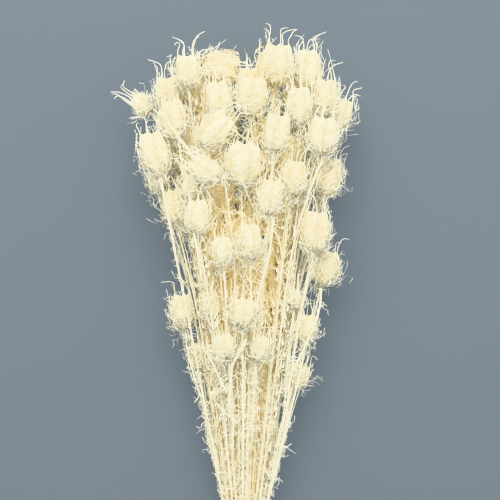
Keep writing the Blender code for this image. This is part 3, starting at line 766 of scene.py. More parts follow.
def grow_bracts(piece, i, look):
    """The finely cut bracts round pod i, whose threads wrap it from its base up, and a nest of loose threads.

    They are worked out in three coordinates: bearing, share of the pod's height, and distance off its skin.
    A bract's main thread bows out round the base like a cup's rim. Branches leave it to both sides at shares
    of its length, and shorter ones leave those. The nest's threads start round the base, and reach further
    off where the pod is inside the bunch than where it stands at its edge.
    """
    radius, length, bearing, draw = horn_places(i)
    rng = np.random.default_rng([SEED, 33, i])
    bearing = bearing - 0.2 + 0.4 * draw[:, 4]

    def threads(paths, thick, cup=0.0):
        """Adds threads kept off the other pods. The cup bows a main thread out round the base."""
        share = np.linspace(0, 1, paths.shape[1])[None]
        out = radius * skin_radius(paths[..., 1]) + np.maximum(paths[..., 2], 0.3 * MM)
        out = out + cup * radius * np.exp(-(((share - 0.12) / 0.09) ** 2))
        places = round_pod(i, paths[..., 0], paths[..., 1] * length, out)
        add_threads(piece, kept_clear(places, own=(i,)), thick, look, rng)

    bearing = np.append(bearing, rng.uniform(0, 2 * np.pi, look.extra_bracts))
    mains = len(bearing)
    start = np.stack([bearing, np.zeros(mains), np.zeros(mains)], 1)
    reach = random_rows(rng, mains, (-0.4, 0.4), (0.7, 1.15), (1.2, 4.5)) * [1, 1, MM]
    main = curled(start, reach, (0.14, 0.05, 0.8 * MM), 11, rng)
    threads(main, 1.3, 0.4)

    many = mains * look.bract_branches
    share = np.tile(np.linspace(0.14, 0.86, look.bract_branches), mains) + rng.uniform(-0.05, 0.05, many)
    start = point_along(np.repeat(main, look.bract_branches, axis=0), share)
    reach = random_rows(rng, many, (0.3, 0.85), (-0.08, 0.34), (-1.0, 2.0)) * [1, 1, MM]
    reach[:, 0] *= np.where(np.arange(many) % 2, 1, -1)
    branch = curled(start, reach, (0.12, 0.06, 0.7 * MM), 6, rng)
    threads(branch, 1.0)

    share = np.tile([0.4, 0.72], many) + rng.uniform(-0.1, 0.1, 2 * many)
    start = point_along(np.repeat(branch, 2, axis=0), share)
    reach = random_rows(rng, 2 * many, (-0.34, 0.34), (-0.12, 0.2), (-0.3, 2.2)) * [1, 1, MM]
    threads(curled(start, reach, (0.07, 0.04, 0.5 * MM), 4, rng), 0.9)

    many = look.nest_threads if i < len(PODS_IN_VIEW) else look.nest_threads // 2
    start = np.column_stack([random_rows(rng, many, (0, 2 * np.pi), (-0.15, 0.3)), np.zeros(many)])
    middle = growth()["middles"][i] - growth()["shift"]
    edge = max(abs(middle[0]) / half_width(middle[1]), (middle[1] - 350 * MM) / (120 * MM))
    far = (1.5 + 12 * rng.uniform(0, 1, many) ** (1.2 + 1.4 * min(edge, 1))) * MM
    reach = np.column_stack([random_rows(rng, many, (-1.3, 1.3), (-0.45, 0.7)), far])
    threads(curled(start, reach, (0.3, 0.12, 1.6 * MM), 10, rng, (1.0, 2.8)), 1.0)


def grow_stalk(piece, i, line, look):
    """A stem or side shoot: a tube along its line with shallow ridges, thinner towards the pod.

    A slow wobble of a fraction of its width keeps it from looking drawn with a ruler. A stem's cut end is
    hollow.
    """
    rng = np.random.default_rng([SEED, 34, i])
    count = max(12, int(np.linalg.norm(np.diff(line, axis=0), axis=1).sum() / (7 * MM)))
    path = smooth_line(line, count)
    share = np.linspace(0, 1, count)
    is_stem = growth()["parents"][i] < 0
    low, high = look.radius_low, look.radius_high
    if not is_stem:
        low = high * 1.05
    radii = low + (high - low) * share + 0.06 * MM * np.sin(40 * share + rng.uniform(0, 6))
    tint = rng.uniform(0, 1, 1)
    piece.add_strands(path[None], radii, 6, STALK, tint, look.ridge_depth, 3, 2 * MM if is_stem else 0)
    return path


def gather_point(path, run):
    """How far along a stalk the tie starts to draw it in."""
    return np.interp(GATHER_Y + growth()["shift"][1], path[:, 1], run)


def beside_stalk(path, run, paths, least):
    """Places from length along a stalk, bearing round it, and distance off it, clear of pods and limits."""
    along = np.clip(paths[..., 0], 0, run[-1])
    places = np.stack([np.interp(along, run, path[:, k]) for k in range(3)], -1)
    off = np.maximum(paths[..., 2], least)
    places[..., 0] += off * np.cos(paths[..., 1])
    places[..., 2] += off * np.sin(paths[..., 1])
    return kept_clear(places)


def grow_leaves(piece, i, path, look):
    """Thread leaves along a stalk, each a curling thread with curling side threads.

    Fewer grow deep in the bunch and among the pods. They are worked out in three coordinates: length along
    the stalk, bearing round it, and distance off it.
    """
    rng = np.random.default_rng([SEED, 35, i])
    run = run_along(path)
    gather = gather_point(path, run)
    begin = gather - 22 * MM if growth()["parents"][i] < 0 else 4 * MM
    at = np.arange(begin, run[-1] - 3 * MM, look.leaf_step)
    if not len(at):
        return
    at = at + rng.uniform(-0.5, 0.5, len(at)) * look.leaf_step
    roots = np.stack([np.interp(at, run, path[:, k]) for k in range(3)], -1)
    among_pods = np.clip((at - gather) / (200 * MM), 0, 1)
    at = at[rng.uniform(size=len(at)) < (1 - 0.8 * depth_in_bunch(roots)) * (1 - 0.6 * among_pods)]
    crowd = np.clip((at - gather) / (60 * MM), 0.5, 1)

    def threads(paths, thick):
        """Adds threads beside the stalk."""
        add_threads(piece, beside_stalk(path, run, paths, 0.4 * MM), thick, look, rng)

    count, many = len(at), look.leaf_branches
    way = np.where(rng.uniform(size=count) < 0.7, 1, -1)
    start = np.stack([at, rng.uniform(-0.7, np.pi + 0.7, count), np.full(count, 0.4 * MM)], 1)
    reach = random_rows(rng, count, (7, 26), (-1.8, 1.8), (1.2, 5.5)) * [MM, 1, MM]
    reach[:, 0] *= way
    reach[:, 2] *= crowd
    rachis = curled(start, reach, (2.2 * MM, 0.7, 1.3 * MM), 9, rng, (1.0, 2.6))
    threads(rachis, 1.15)

    share = np.tile(np.linspace(0.15, 0.9, many), count) + rng.uniform(-0.07, 0.07, count * many)
    start = point_along(np.repeat(rachis, many, axis=0), share)
    reach = random_rows(rng, count * many, (-5, 7), (-1.3, 1.3), (-0.5, 3.6)) * [MM, 1, MM]
    reach[:, 2] *= np.repeat(crowd, many)
    threads(curled(start, reach, (1.5 * MM, 0.7, 0.9 * MM), 5, rng), 0.95)


def grow_twigs(piece, i, path, look):
    """Thin side twigs that run up beside a stem, and long loose threads that wander round it.

    They are worked out as the leaves are: length along the stalk, bearing round it, and distance off it.
    """
    rng = np.random.default_rng([SEED, 37, i])
    run = run_along(path)
    gather = gather_point(path, run)
    spare = max(run[-1] - gather - 60 * MM, 10 * MM)

    def strands(many, points, sides, radius, length, off, wave, turns, kink):
        """Adds strands that start anywhere along the stalk, from their lengths and how far off they end."""
        begin = gather + spare * rng.uniform(-0.1, 1, many)
        start = np.stack([begin, rng.uniform(0, 2 * np.pi, many), np.full(many, 0.4 * MM)], 1)
        reach = random_rows(rng, many, length, (-1.5, 1.5), (0.3, 1)) * [1, 1, off]
        places = beside_stalk(path, run, curled(start, reach, wave, points, rng, turns, kink), 0.3 * MM)
        radii = fine_radii(places, radius, np.linspace(1, 0.6, points))
        finish = STALK if sides > 3 else THREAD
        piece.add_strands(places, radii, sides, finish, rng.uniform(0, 1, many))

    strands(
        look.twigs, 20, 4, 0.6 * MM, length=(60 * MM, 150 * MM), off=5 * MM,
        wave=(0.0, 0.4, 0.8 * MM), turns=(0.7, 2.0), kink=0.03,
    )
    strands(
        look.loose_threads, 26, 3, look.thread_radius, length=(30 * MM, 70 * MM), off=4 * MM,
        wave=(2.4 * MM, 1.0, 1.6 * MM), turns=(3, 7), kink=0.4,
    )


def grow_bed(piece, i, path, look):
    """Coarse dry leaf stalks that part from a stem and cross under its neighbours.

    Each starts on the stem and goes off to the side and up the bunch with a slow curl, towards a height in
    the bunch's lower half. A hyperbolic tangent keeps it within the bunch's sides.
    """
    rng = np.random.default_rng([SEED, 38, i])
    many, points = look.bed_stalks, 8
    shift = growth()["shift"]
    high_up = rng.uniform(size=many) < 0.72
    at = np.where(high_up, rng.uniform(0.6, 0.97, many), rng.uniform(0.3, 0.97, many))
    start = path[(at * len(path)).astype(int)]
    width = half_width(start[:, 1] - shift[1]) - 5 * MM
    reach = np.stack([rng.uniform(-0.5, 0.5, many) * width, rng.uniform(4, 46, many) * MM, np.zeros(many)], 1)
    reach[:, 2] = bunch_depth(start[:, 1] - shift[1]) * rng.uniform(0.08, 0.5, many) - start[:, 2]
    paths = curled(start, reach, (5 * MM, 4 * MM, 2.5 * MM), points, rng, (0.8, 2.2), 0.2)
    room = 0.92 * half_width(paths[..., 1] - shift[1]) - 3 * MM
    paths[..., 0] = shift[0] + room * np.tanh((paths[..., 0] - shift[0]) / room)
    paths[..., 2] = np.maximum(paths[..., 2], 1 * MM)
    paths = kept_clear(paths)
    radii = np.linspace(0.95, 0.6, points) * MM
    piece.add_strands(paths, radii, 3, THREAD, rng.uniform(0, 1, many))


def grow_fuzz(piece, i, path, look):
    """Short curled threads that stand off the front of the stems, below the heads.

    They are drawn evenly along the stem, and only those that start near the bunch's upper side grow.
    """
    rng = np.random.default_rng([SEED, 39, i])
    many, points = look.front_threads, 7
    start = point_along(np.repeat(path[None], many, axis=0), rng.uniform(0.12, 0.85, many))
    along = start[:, 1] - growth()["shift"][1]
    upper = start[:, 2] > 0.55 * bunch_depth(along)
    below_heads = (along > GATHER_Y + 5 * MM) & (along < 330 * MM)
    start = start[upper & below_heads & (depth_in_bunch(start) < 0.75)]
    many = len(start)
    if not many:
        return
    reach = rng.uniform(-1, 1, (many, 3)) * [8 * MM, 10 * MM, 1.5 * MM] + [0, 0, 2.2 * MM]
    paths = curled(start, reach, (2.6 * MM, 2.6 * MM, 1.2 * MM), points, rng, (1.0, 2.2), 0.28)
    paths = kept_clear(paths)
    radii = 0.85 * look.thread_radius * np.linspace(1, 0.5, points)
    piece.add_strands(paths, radii, 3, THREAD, rng.uniform(0, 0.5, many))


def top_of_bunch(points):
    """The height of the highest stalk or pod under each point that is given by its place across and along."""
    bunch = growth()
    tops = np.zeros(len(points))
    for line in bunch["lines"]:
        across = np.interp(points[:, 1], line[:, 1], line[:, 0])
        high = np.interp(points[:, 1], line[:, 1], line[:, 2])
        over = (np.abs(across - points[:, 0]) < 4 * MM) & (points[:, 1] < line[-1, 1])
        tops = np.maximum(tops, np.where(over, high + 1 * MM, 0))
    for middle, width in zip(bunch["middles"], bunch["pods"][:, 3]):
        away = np.linalg.norm(points - middle[:2], axis=1) / (width / 2)
        over = middle[2] + width / 2 * np.sqrt(np.clip(1 - away**2, 0, 1))
        tops = np.maximum(tops, np.where(away < 1, over, 0))
    return tops


def grow_fallen_stalk(piece, number, look):
    """A broken stalk that lies over the front of the bunch, from stalk to stalk, with its thread leaves."""
    rng = np.random.default_rng([SEED, 36, number])
    points, many, bends = 24, 26, 7
    flat = np.array(FALLEN_STALKS[number]) * MM + growth()["shift"][:2]
    tops = top_of_bunch(flat)
    line = np.column_stack([flat, np.maximum(tops, tops.mean() - 4 * MM) + 4.5 * MM])
    path = smooth_line(line, points)
    radii = np.linspace(0.85, 0.5, points) * MM
    piece.add_strands(path[None], radii, 6, STALK, rng.uniform(0, 0.4, 1), look.ridge_depth, 3)
    start = path[rng.integers(1, points - 1, many)]
    reach = rng.uniform(-1, 1, (many, 3)) * [6 * MM, 9 * MM, 2.5 * MM]
    threads = curled(start, reach, (1.5 * MM, 1.5 * MM, 0.8 * MM), bends, rng)
    threads = kept_clear(threads)
    thin = look.thread_radius * np.linspace(0.95, 0.35, bends)
    piece.add_strands(threads, thin, 3, THREAD, rng.uniform(0, 1, many))


def link_group(tree, name, **values):
    """Places the shared group in a material's tree and sets its plain values."""
    node = tree.nodes.new("ShaderNodeGroup")
    node.node_tree = bpy.data.node_groups[name]
    for key, value in values.items():
        node.inputs[key.replace("_", " ")].default_value = value
    return node


def dried_plant_group():
    """The shared finish of everything that grew: mottled from pale to straw, with veins, stains, grain and
    painted shade.

    Veins are a net of cell edges bent by noise, flecks of the stain colour follow the grain, and the same
    colour is painted shade in the creases. Deeper in the bunch the colour turns towards the core colour, as
    painted warm shade.
    It puts out a colour, a roughness, a height for bump, and a glow: a painted glow that stands in for the
    warm light that reaches the bunch's core through thin dry tissue, which is the core's colour times the
    square of the depth.
    """
    name = "dried plant finish"
    if name in bpy.data.node_groups:
        return name
    tree = bpy.data.node_groups.new(name, "ShaderNodeTree")
    colours = ("Pale", "Straw", "Stain", "Core", "Vein")
    values = (
        "Patch Scale", "Grain Scale", "Grain Stretch", "Straw Share", "Crease Stain", "Fleck",
        "Net Scale", "Net", "Roughness",
    )
    for label in colours + values:
        kind = "NodeSocketColor" if label in colours else "NodeSocketFloat"
        tree.interface.new_socket(label, in_out="INPUT", socket_type=kind)
    for label, kind in (("Color", "Color"), ("Roughness", "Float"), ("Height", "Float"), ("Glow", "Color")):
        tree.interface.new_socket(label, in_out="OUTPUT", socket_type="NodeSocket" + kind)
    nodes, links = tree.nodes, tree.links
    given, result = nodes.new("NodeGroupInput"), nodes.new("NodeGroupOutput")
    place = nodes.new("ShaderNodeTexCoord").outputs["Object"]
    growth_marks = nodes.new("ShaderNodeAttribute")
    growth_marks.attribute_name = "growth"
    marks = nodes.new("ShaderNodeSeparateXYZ")
    links.new(growth_marks.outputs["Vector"], marks.inputs[0])
    tint, depth, relief = marks.outputs[0], marks.outputs[1], marks.outputs[2]

    def math_node(kind, a, b=None, clamp=False):
        node = nodes.new("ShaderNodeMath")
        node.operation, node.use_clamp = kind, clamp
        for socket, value in zip(node.inputs, (a, b)):
            if isinstance(value, (int, float)):
                socket.default_value = value
            elif value is not None:
                links.new(value, socket)
        return node.outputs[0]

    def noise(vector, scale, detail, rough=0.55):
        node = nodes.new("ShaderNodeTexNoise")
        node.inputs["Detail"].default_value = detail
        node.inputs["Roughness"].default_value = rough
        links.new(vector, node.inputs["Vector"])
        links.new(scale, node.inputs["Scale"])
        return node.outputs["Fac"]

    def blend(share, a, b):
        node = nodes.new("ShaderNodeMix")
        node.data_type = "RGBA"
        links.new(share, node.inputs[0])
        links.new(a, node.inputs[6])
        links.new(b, node.inputs[7])
        return node.outputs[2]

    patches = noise(place, given.outputs["Patch Scale"], 3)
    spread = math_node("MULTIPLY", math_node("SUBTRACT", patches, 0.5), 2.2)
    own = math_node("MULTIPLY", math_node("SUBTRACT", tint, 0.5), 0.9)
    straw = math_node("ADD", math_node("ADD", spread, own), given.outputs["Straw Share"], clamp=True)
    colour = blend(straw, given.outputs["Pale"], given.outputs["Straw"])
    bent = nodes.new("ShaderNodeVectorMath")
    bent.operation = "MULTIPLY_ADD"
    wander = nodes.new("ShaderNodeTexNoise")
    links.new(place, wander.inputs["Vector"])
    links.new(given.outputs["Net Scale"], wander.inputs["Scale"])
    links.new(wander.outputs["Color"], bent.inputs[0])
    bent.inputs[1].default_value = (0.004, 0.004, 0.004)
    links.new(place, bent.inputs[2])
    cells = nodes.new("ShaderNodeTexVoronoi")
    cells.feature = "DISTANCE_TO_EDGE"
    links.new(bent.outputs[0], cells.inputs["Vector"])
    links.new(given.outputs["Net Scale"], cells.inputs["Scale"])
    vein = math_node("SUBTRACT", 1, math_node("MULTIPLY", cells.outputs["Distance"], 7), clamp=True)
    vein = math_node("MULTIPLY", vein, given.outputs["Net"])
    colour = blend(vein, colour, given.outputs["Vein"])
    # Painted shade: where the relief is low, in creases, furrows and hollow ends, the colour goes towards the
    # stain colour.
    low = math_node("SUBTRACT", 0.62, relief, clamp=True)
    stain = math_node("MULTIPLY", low, given.outputs["Crease Stain"], clamp=True)
    colour = blend(stain, colour, given.outputs["Stain"])
    stretch = nodes.new("ShaderNodeCombineXYZ")
    stretch.inputs[0].default_value = 1
    stretch.inputs[2].default_value = 1
    links.new(given.outputs["Grain Stretch"], stretch.inputs[1])
    drawn = nodes.new("ShaderNodeVectorMath")
    drawn.operation = "MULTIPLY"
    links.new(place, drawn.inputs[0])
    links.new(stretch.outputs[0], drawn.inputs[1])
    grain = noise(drawn.outputs[0], given.outputs["Grain Scale"], 5, 0.65)
    fleck = math_node("MULTIPLY", math_node("SUBTRACT", grain, 0.56), 3.2, clamp=True)
    fleck = math_node("MULTIPLY", fleck, given.outputs["Fleck"])
    colour = blend(fleck, colour, given.outputs["Stain"])
    # Painted shade: deeper in the bunch the colour goes towards the warmer, darker core colour.
    colour = blend(math_node("MULTIPLY", depth, 0.7), colour, given.outputs["Core"])
    links.new(colour, result.inputs["Color"])
    # Painted glow: the core colour times the square of the depth, given off as light by the materials that use
    # it.
    black = nodes.new("ShaderNodeRGB").outputs[0]
    black.default_value = (0, 0, 0, 1)
    glow = blend(math_node("POWER", depth, 2.0), black, given.outputs["Core"])
    links.new(glow, result.inputs["Glow"])
    uneven = math_node("MULTIPLY", math_node("SUBTRACT", grain, 0.5), 0.3)
    links.new(math_node("ADD", given.outputs["Roughness"], uneven), result.inputs["Roughness"])
    links.new(math_node("ADD", grain, vein), result.inputs["Height"])
    return name


def plant_material(name, look, soft=0.0, glow=0.0, bump_height=0.4 * MM, **values):
    """A material of the shared finish, with its own colours and scales."""
    if name in bpy.data.materials:
        return bpy.data.materials[name]
    material = bpy.data.materials.new(name)
    material.use_nodes = True
    tree = material.node_tree
    shader = tree.nodes["Principled BSDF"]
    shader.inputs["Metallic"].default_value = 0
    shader.inputs["Specular IOR Level"].default_value = 0.25
    if soft:
        shader.inputs["Subsurface Weight"].default_value = soft
        shader.inputs["Subsurface Radius"].default_value = (1.0, 0.9, 0.5)
        shader.inputs["Subsurface Scale"].default_value = 0.004
    group = link_group(tree, dried_plant_group(), **values)
    for socket in ("Pale", "Straw", "Stain", "Core"):
        group.inputs[socket].default_value = (*getattr(look, socket.lower()), 1)
    group.inputs["Vein"].default_value = VEIN_COLOUR
    bump = tree.nodes.new("ShaderNodeBump")
    bump.inputs["Strength"].default_value = 0.6
    bump.inputs["Distance"].default_value = bump_height
    tree.links.new(group.outputs["Height"], bump.inputs["Height"])
    tree.links.new(group.outputs["Color"], shader.inputs["Base Color"])
    # The glow is painted light: the parts themselves give off the core colour deep in the bunch.
    tree.links.new(group.outputs["Glow"], shader.inputs["Emission Color"])
    shader.inputs["Emission Strength"].default_value = glow
    tree.links.new(group.outputs["Roughness"], shader.inputs["Roughness"])
    tree.links.new(bump.outputs["Normal"], shader.inputs["Normal"])
    return material


def colour_setting(name, description, default):
    """A colour among the settings."""
    return bpy.props.FloatVectorProperty(
        name=name, description=description, default=default, subtype="COLOR", size=3, min=0, max=1
    )


def length_setting(name, description, default):
    """A length among the settings, in metres."""
    return bpy.props.FloatProperty(name=name, description=description, default=default, min=0, unit="LENGTH")


def share_setting(name, description, default):
    """A share of another measure among the settings."""
    return bpy.props.FloatProperty(
        name=name, description=description, default=default, min=0, max=0.3, subtype="FACTOR"
    )


def light_setting(name, description, default):
    """The strength of a light among the settings."""
    return bpy.props.FloatProperty(name=name, description=description, default=default, min=0)


def count_setting(name, description, default, least=1):
    """A whole number among the settings."""
    return bpy.props.IntProperty(name=name, description=description, default=default, min=least)


class NigellaPodSettings(bpy.types.PropertyGroup):
    """Sizes and colours of the pods and their horns."""

    groove_depth: share_setting("Groove Depth", "Depth of the grooves between lobes, in radii", 0.11)
    rib_depth: share_setting("Rib Height", "Height of the ribs and net, in radii", 0.042)
    wrinkle_depth: share_setting("Wrinkle Depth", "Depth of the papery wrinkles, in radii", 0.045)
    horn_radius: length_setting("Horn Radius", "Radius of a horn half way along", 0.32 * MM)
    pod_rows: count_setting("Rows", "Rows of corners up a pod", 26, 8)
    pod_columns: count_setting("Columns", "Corners round a pod", 60, 10)
    pale: colour_setting("Pale", "Bleached skin", (0.83, 0.785, 0.545))
    straw: colour_setting("Straw", "Yellower patches", (0.73, 0.64, 0.37))
    # Stain colours the flecks along the grain and the painted shade in the grooves, wrinkles, dents and ends
    # of a pod.
    stain: colour_setting("Stain", "Creases", (0.56, 0.44, 0.23))
    # Core is painted warm shade deep in the bunch, and the colour of the painted glow there.
    core: colour_setting("Core", "Less bleached skin deep in the bunch", (0.84, 0.72, 0.41))


class NigellaStalkSettings(bpy.types.PropertyGroup):
    """Sizes and colours of the stems, side shoots and horns."""

    radius_low: length_setting("Radius at Cut End", "Radius of a stem where it was cut", 0.86 * MM)
    radius_high: length_setting("Radius at Pod", "Radius of a stem below its pod", 0.62 * MM)
    ridge_depth: share_setting("Ridge Height", "Height of a stem's ridges, in radii", 0.1)
    pale: colour_setting("Pale", "Bleached stem", (0.95, 0.93, 0.77))
    straw: colour_setting("Straw", "Yellower runs", (0.91, 0.85, 0.59))
    # Stain colours the flecks along the grain and the painted shade in the furrows and the hollow cut ends.
    stain: colour_setting("Stain", "Furrows", (0.76, 0.58, 0.3))
    # Core is painted warm shade deep in the bunch, and the colour of the painted glow there.
    core: colour_setting("Core", "Less bleached stems deep in the bunch", (0.83, 0.69, 0.38))


class NigellaThreadSettings(bpy.types.PropertyGroup):
    """Number, size and colours of the threads of bracts and leaves."""

    thread_radius: length_setting("Thread Radius", "Radius of a thread at its root", 0.42 * MM)
    extra_bracts: count_setting("Extra Bracts", "Bracts round a pod beyond the first five", 1, 0)
    bract_branches: count_setting("Bract Branches", "Side threads of one bract", 7)
    nest_threads: count_setting("Nest Threads", "Loose curled threads round a pod's base", 64)
    leaf_step: length_setting("Leaf Spacing", "Distance between leaves along a stalk", 9.2 * MM)
    leaf_branches: count_setting("Leaf Branches", "Side threads of one leaf", 4)
    twigs: count_setting("Side Twigs", "Thin side twigs of one stalk", 4)
    bed_stalks: count_setting("Bed Stalks", "Coarse leaf stalks of one stem that cross low in the bunch", 21)
    front_threads: count_setting("Front Threads", "Short curled threads drawn for one stem", 34)
    loose_threads: count_setting("Loose Threads", "Long wandering threads of one stalk", 7)
    ridge_depth: share_setting("Ridge Height", "Height of a fallen stalk's ridges, in radii", 0.1)
    pale: colour_setting("Pale", "Bleached thread", (0.96, 0.95, 0.8))
    straw: colour_setting("Straw", "Yellower threads", (0.92, 0.86, 0.62))
    # Stain colours the flecks along the grain; the threads get next to no painted shade in creases.
    stain: colour_setting("Stain", "Shaded side", (0.85, 0.68, 0.4))
    # Core is painted warm shade deep in the bunch, and the colour of the painted glow there.
    core: colour_setting("Core", "Less bleached threads deep in the bunch", (0.85, 0.71, 0.4))


class NigellaTieSettings(bpy.types.PropertyGroup):
    """Size and colours of the twine."""

    strand_radius: length_setting("Strand Radius", "Radius of one of the two twisted strands", 0.56 * MM)
    lay_length: length_setting("Lay Length", "Length of one full twist of the strands", 5.5 * MM)
    pale: colour_setting("Pale", "Outer fibres", (0.66, 0.5, 0.3))
    straw: colour_setting("Straw", "Inner fibres", (0.46, 0.31, 0.16))
    # Stain colours the flecks along the grain and the painted shade in the furrows between fibres.
    stain: colour_setting("Stain", "Between fibres", (0.2, 0.12, 0.06))
    # Core is painted shade deep in the bunch; the twine has no painted glow.
    core: colour_setting("Core", "Fibres on the inner side", (0.4, 0.27, 0.13))


class NigellaStageSettings(bpy.types.PropertyGroup):
    """The floor, the lights and the camera."""

    floor_colour: colour_setting("Floor", "Pale blue-grey floor", (0.059, 0.071, 0.08))
    floor_glow: light_setting("Floor Glow", "Light from the floor itself, which lifts the shadows on it", 1.9)
    camera_height: length_setting("Camera Height", "Height of the camera over the floor", 1.7)
    framed_width: length_setting("Framed Width", "Width of the view at half the bunch's height", 0.414)
    key_power: light_setting("Key Light", "Power of the key light", 41)
    fill_power: light_setting("Fill Light", "Power of the fill light", 5)
    rear_power: light_setting("Rear Light", "Power of the low light beyond the heads", 1.6)
    sky: light_setting("Sky", "Strength of the even light all round", 1.08)


class NIGELLA_OT_add_stems(bpy.types.Operator):
    """Grow every stem with its side shoot, pods, horns, bracts and thread leaves"""

    bl_idname = "nigella.add_stems"
    bl_label = "Add Pod Stems"

    def execute(self, context):
        """Makes one piece for each stem of the solids, in their order."""
        scene = context.scene
        pod, stalk, thread = scene.nigella_pods, scene.nigella_stalks, scene.nigella_threads
        # Each glow is the strength of that finish's painted glow, which is brighter deeper in the bunch.
        materials = [
            plant_material(
                "bleached pod skin", pod, soft=0.1, glow=0.2, bump_height=0.8 * MM,
                Patch_Scale=170.0, Grain_Scale=480.0, Grain_Stretch=0.8, Straw_Share=0.35,
                Crease_Stain=1.0, Fleck=0.4, Net_Scale=280.0, Net=0.85, Roughness=0.72,
            ),
            plant_material(
                "dry stem", stalk, glow=0.07, Patch_Scale=60.0, Grain_Scale=2600.0, Grain_Stretch=0.05,
                Straw_Share=0.38, Crease_Stain=0.7, Fleck=0.2, Roughness=0.62,
            ),
            plant_material(
                "dry thread", thread, glow=0.23, Patch_Scale=90.0, Grain_Scale=2200.0, Grain_Stretch=0.4,
                Straw_Share=0.3, Crease_Stain=0.2, Fleck=0.15, Roughness=0.7,
            ),
        ]
        bunch = growth()
        roots = np.flatnonzero(bunch["parents"] < 0)
        fallen = self.carriers(bunch, roots)
        for number, i in enumerate(roots, 1):
            piece = Growing()
            for k in [i, *np.flatnonzero(bunch["parents"] == i)]:
                path = grow_stalk(piece, k, bunch["lines"][k], stalk)
                grow_pod(piece, k, pod)
                grow_horns(piece, k, pod)
                grow_bracts(piece, k, thread)
                grow_leaves(piece, k, path, thread)
                grow_twigs(piece, k, path, thread)
                grow_bed(piece, k, path, thread)
                grow_fuzz(piece, k, path, thread)
            for over in fallen.get(number, []):
                grow_fallen_stalk(piece, over, thread)
            made = piece.finished(f"grown_stem_{number:02d}", materials)
            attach(made, "root")
            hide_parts(f"pod_stem_{number:02d}")
        return {"FINISHED"}

    def carriers(self, bunch, roots):
        """For each fallen stalk, the number of the stem whose line passes nearest to its lower end."""
        found = {}
        for over, points in enumerate(FALLEN_STALKS):
            end = np.array(points[0]) * MM + bunch["shift"][:2]
            away = [np.linalg.norm(bunch["lines"][i][:, :2] - end, axis=1).min() for i in roots]
            found.setdefault(int(np.argmin(away)) + 1, []).append(over)
        return found


class NIGELLA_OT_add_tie(bpy.types.Operator):
    """Wind the twine round the stems"""

    bl_idname = "nigella.add_tie"
    bl_label = "Add Twine Tie"

    def execute(self, context):
        """Makes two strands twisted round each other, wound round the stems, with a small knot on top.

        The twine's middle is a helix of the given turns round the stems. Each strand is a smaller helix
        round that middle, half a twist from the other. The knot is a trefoil with two tails, and loose
        fibres stand off the strands.
        """
        look = context.scene.nigella_tie
        bunch = growth()
        rng = np.random.default_rng([SEED, 41])
        hub, inner = bunch["hub"], bunch["inner"]
        piece = Growing()
        share = np.linspace(0, 1, 72 * TWINE_TURNS)
        angle = 2 * np.pi * TWINE_TURNS * share + np.pi / 2
        ring = inner + 0.98 * TWINE_RADIUS
        length = 2 * np.pi * TWINE_TURNS * ring
        out = np.stack([np.cos(angle), 0 * angle, np.sin(angle)], 1)
        middle = hub + out * ring
        middle[:, 1] += (share - 0.5) * 2 * (TWINE_TURNS - 1) * TWINE_RADIUS

        def lay_up(line, run, first, second):
            """Adds the twine's two strands along a line.

            It takes the length that the twist has run at each point, and two directions across the line.
            """
            for half in (0, np.pi):
                twist = (2 * np.pi * run / look.lay_length + half)[:, None]
                path = line + STRAND_OFFSET * (np.cos(twist) * first + np.sin(twist) * second)
                path[:, 2] = np.maximum(path[:, 2], look.strand_radius)
                tint = rng.uniform(0, 1, 1)
                piece.add_strands(path[None], look.strand_radius, 8, 0, tint, ridge=0.06, ridges=4)

        lay_up(middle, length * share, out, np.array([[0, 1, 0]]))
        t = np.linspace(0, 2 * np.pi, 91)
        upright = np.array([[0, 0, 1]])
        knot = [np.sin(t) + 2 * np.sin(2 * t), np.cos(t) - 2 * np.cos(2 * t), -0.8 * np.sin(3 * t)]
        knot = np.stack(knot, 1) * 0.95 * MM + hub + [0, 0, ring + 2.1 * MM]
        knot_ways = np.gradient(knot, axis=0)
        knot_side = np.cross(knot_ways, [0, 0, 1.0])
        knot_side /= np.linalg.norm(knot_side, axis=1, keepdims=True)
        lay_up(knot, KNOT_TWIST * t / t[-1], knot_side, upright)
        for way in (-1, 1):
            tail = [(0, 0, 2.2), (3 * way, 2, 2), (6 * way, 6, 0.4), (6.5 * way, 11, 1)]
            tail = smooth_line(hub + [0, 0, ring] + np.array(tail) * MM, 40)
            lay_up(tail, np.linspace(0, TAIL_TWIST, 40), np.array([[0.7, -0.7 * way, 0]]), upright)
        many, points = 260, 5
        start = middle[rng.integers(0, len(middle), many)]
        away = (start - hub) * [1, 0, 1]
        away /= np.linalg.norm(away, axis=1, keepdims=True)
        reach = away * rng.uniform(0.6, 2.4, (many, 1)) * MM + rng.uniform(-1.6, 1.6, (many, 3)) * MM
        fibres = curled(start, reach, (0.5 * MM,) * 3, points, rng)
        fibres[..., 2] = np.maximum(fibres[..., 2], 0.1 * MM)
        piece.add_strands(fibres, 0.05 * MM, 3, 0, rng.uniform(0, 1, many))
        material = plant_material(
            "twisted twine", look, Patch_Scale=260.0, Grain_Scale=3200.0, Grain_Stretch=0.3,
            Straw_Share=0.4, Crease_Stain=0.8, Fleck=0.4, Roughness=0.85,
        )
        made = piece.finished("wound_twine", [material])
        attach(made, "root")
        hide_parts("twine_tie")
        return {"FINISHED"}


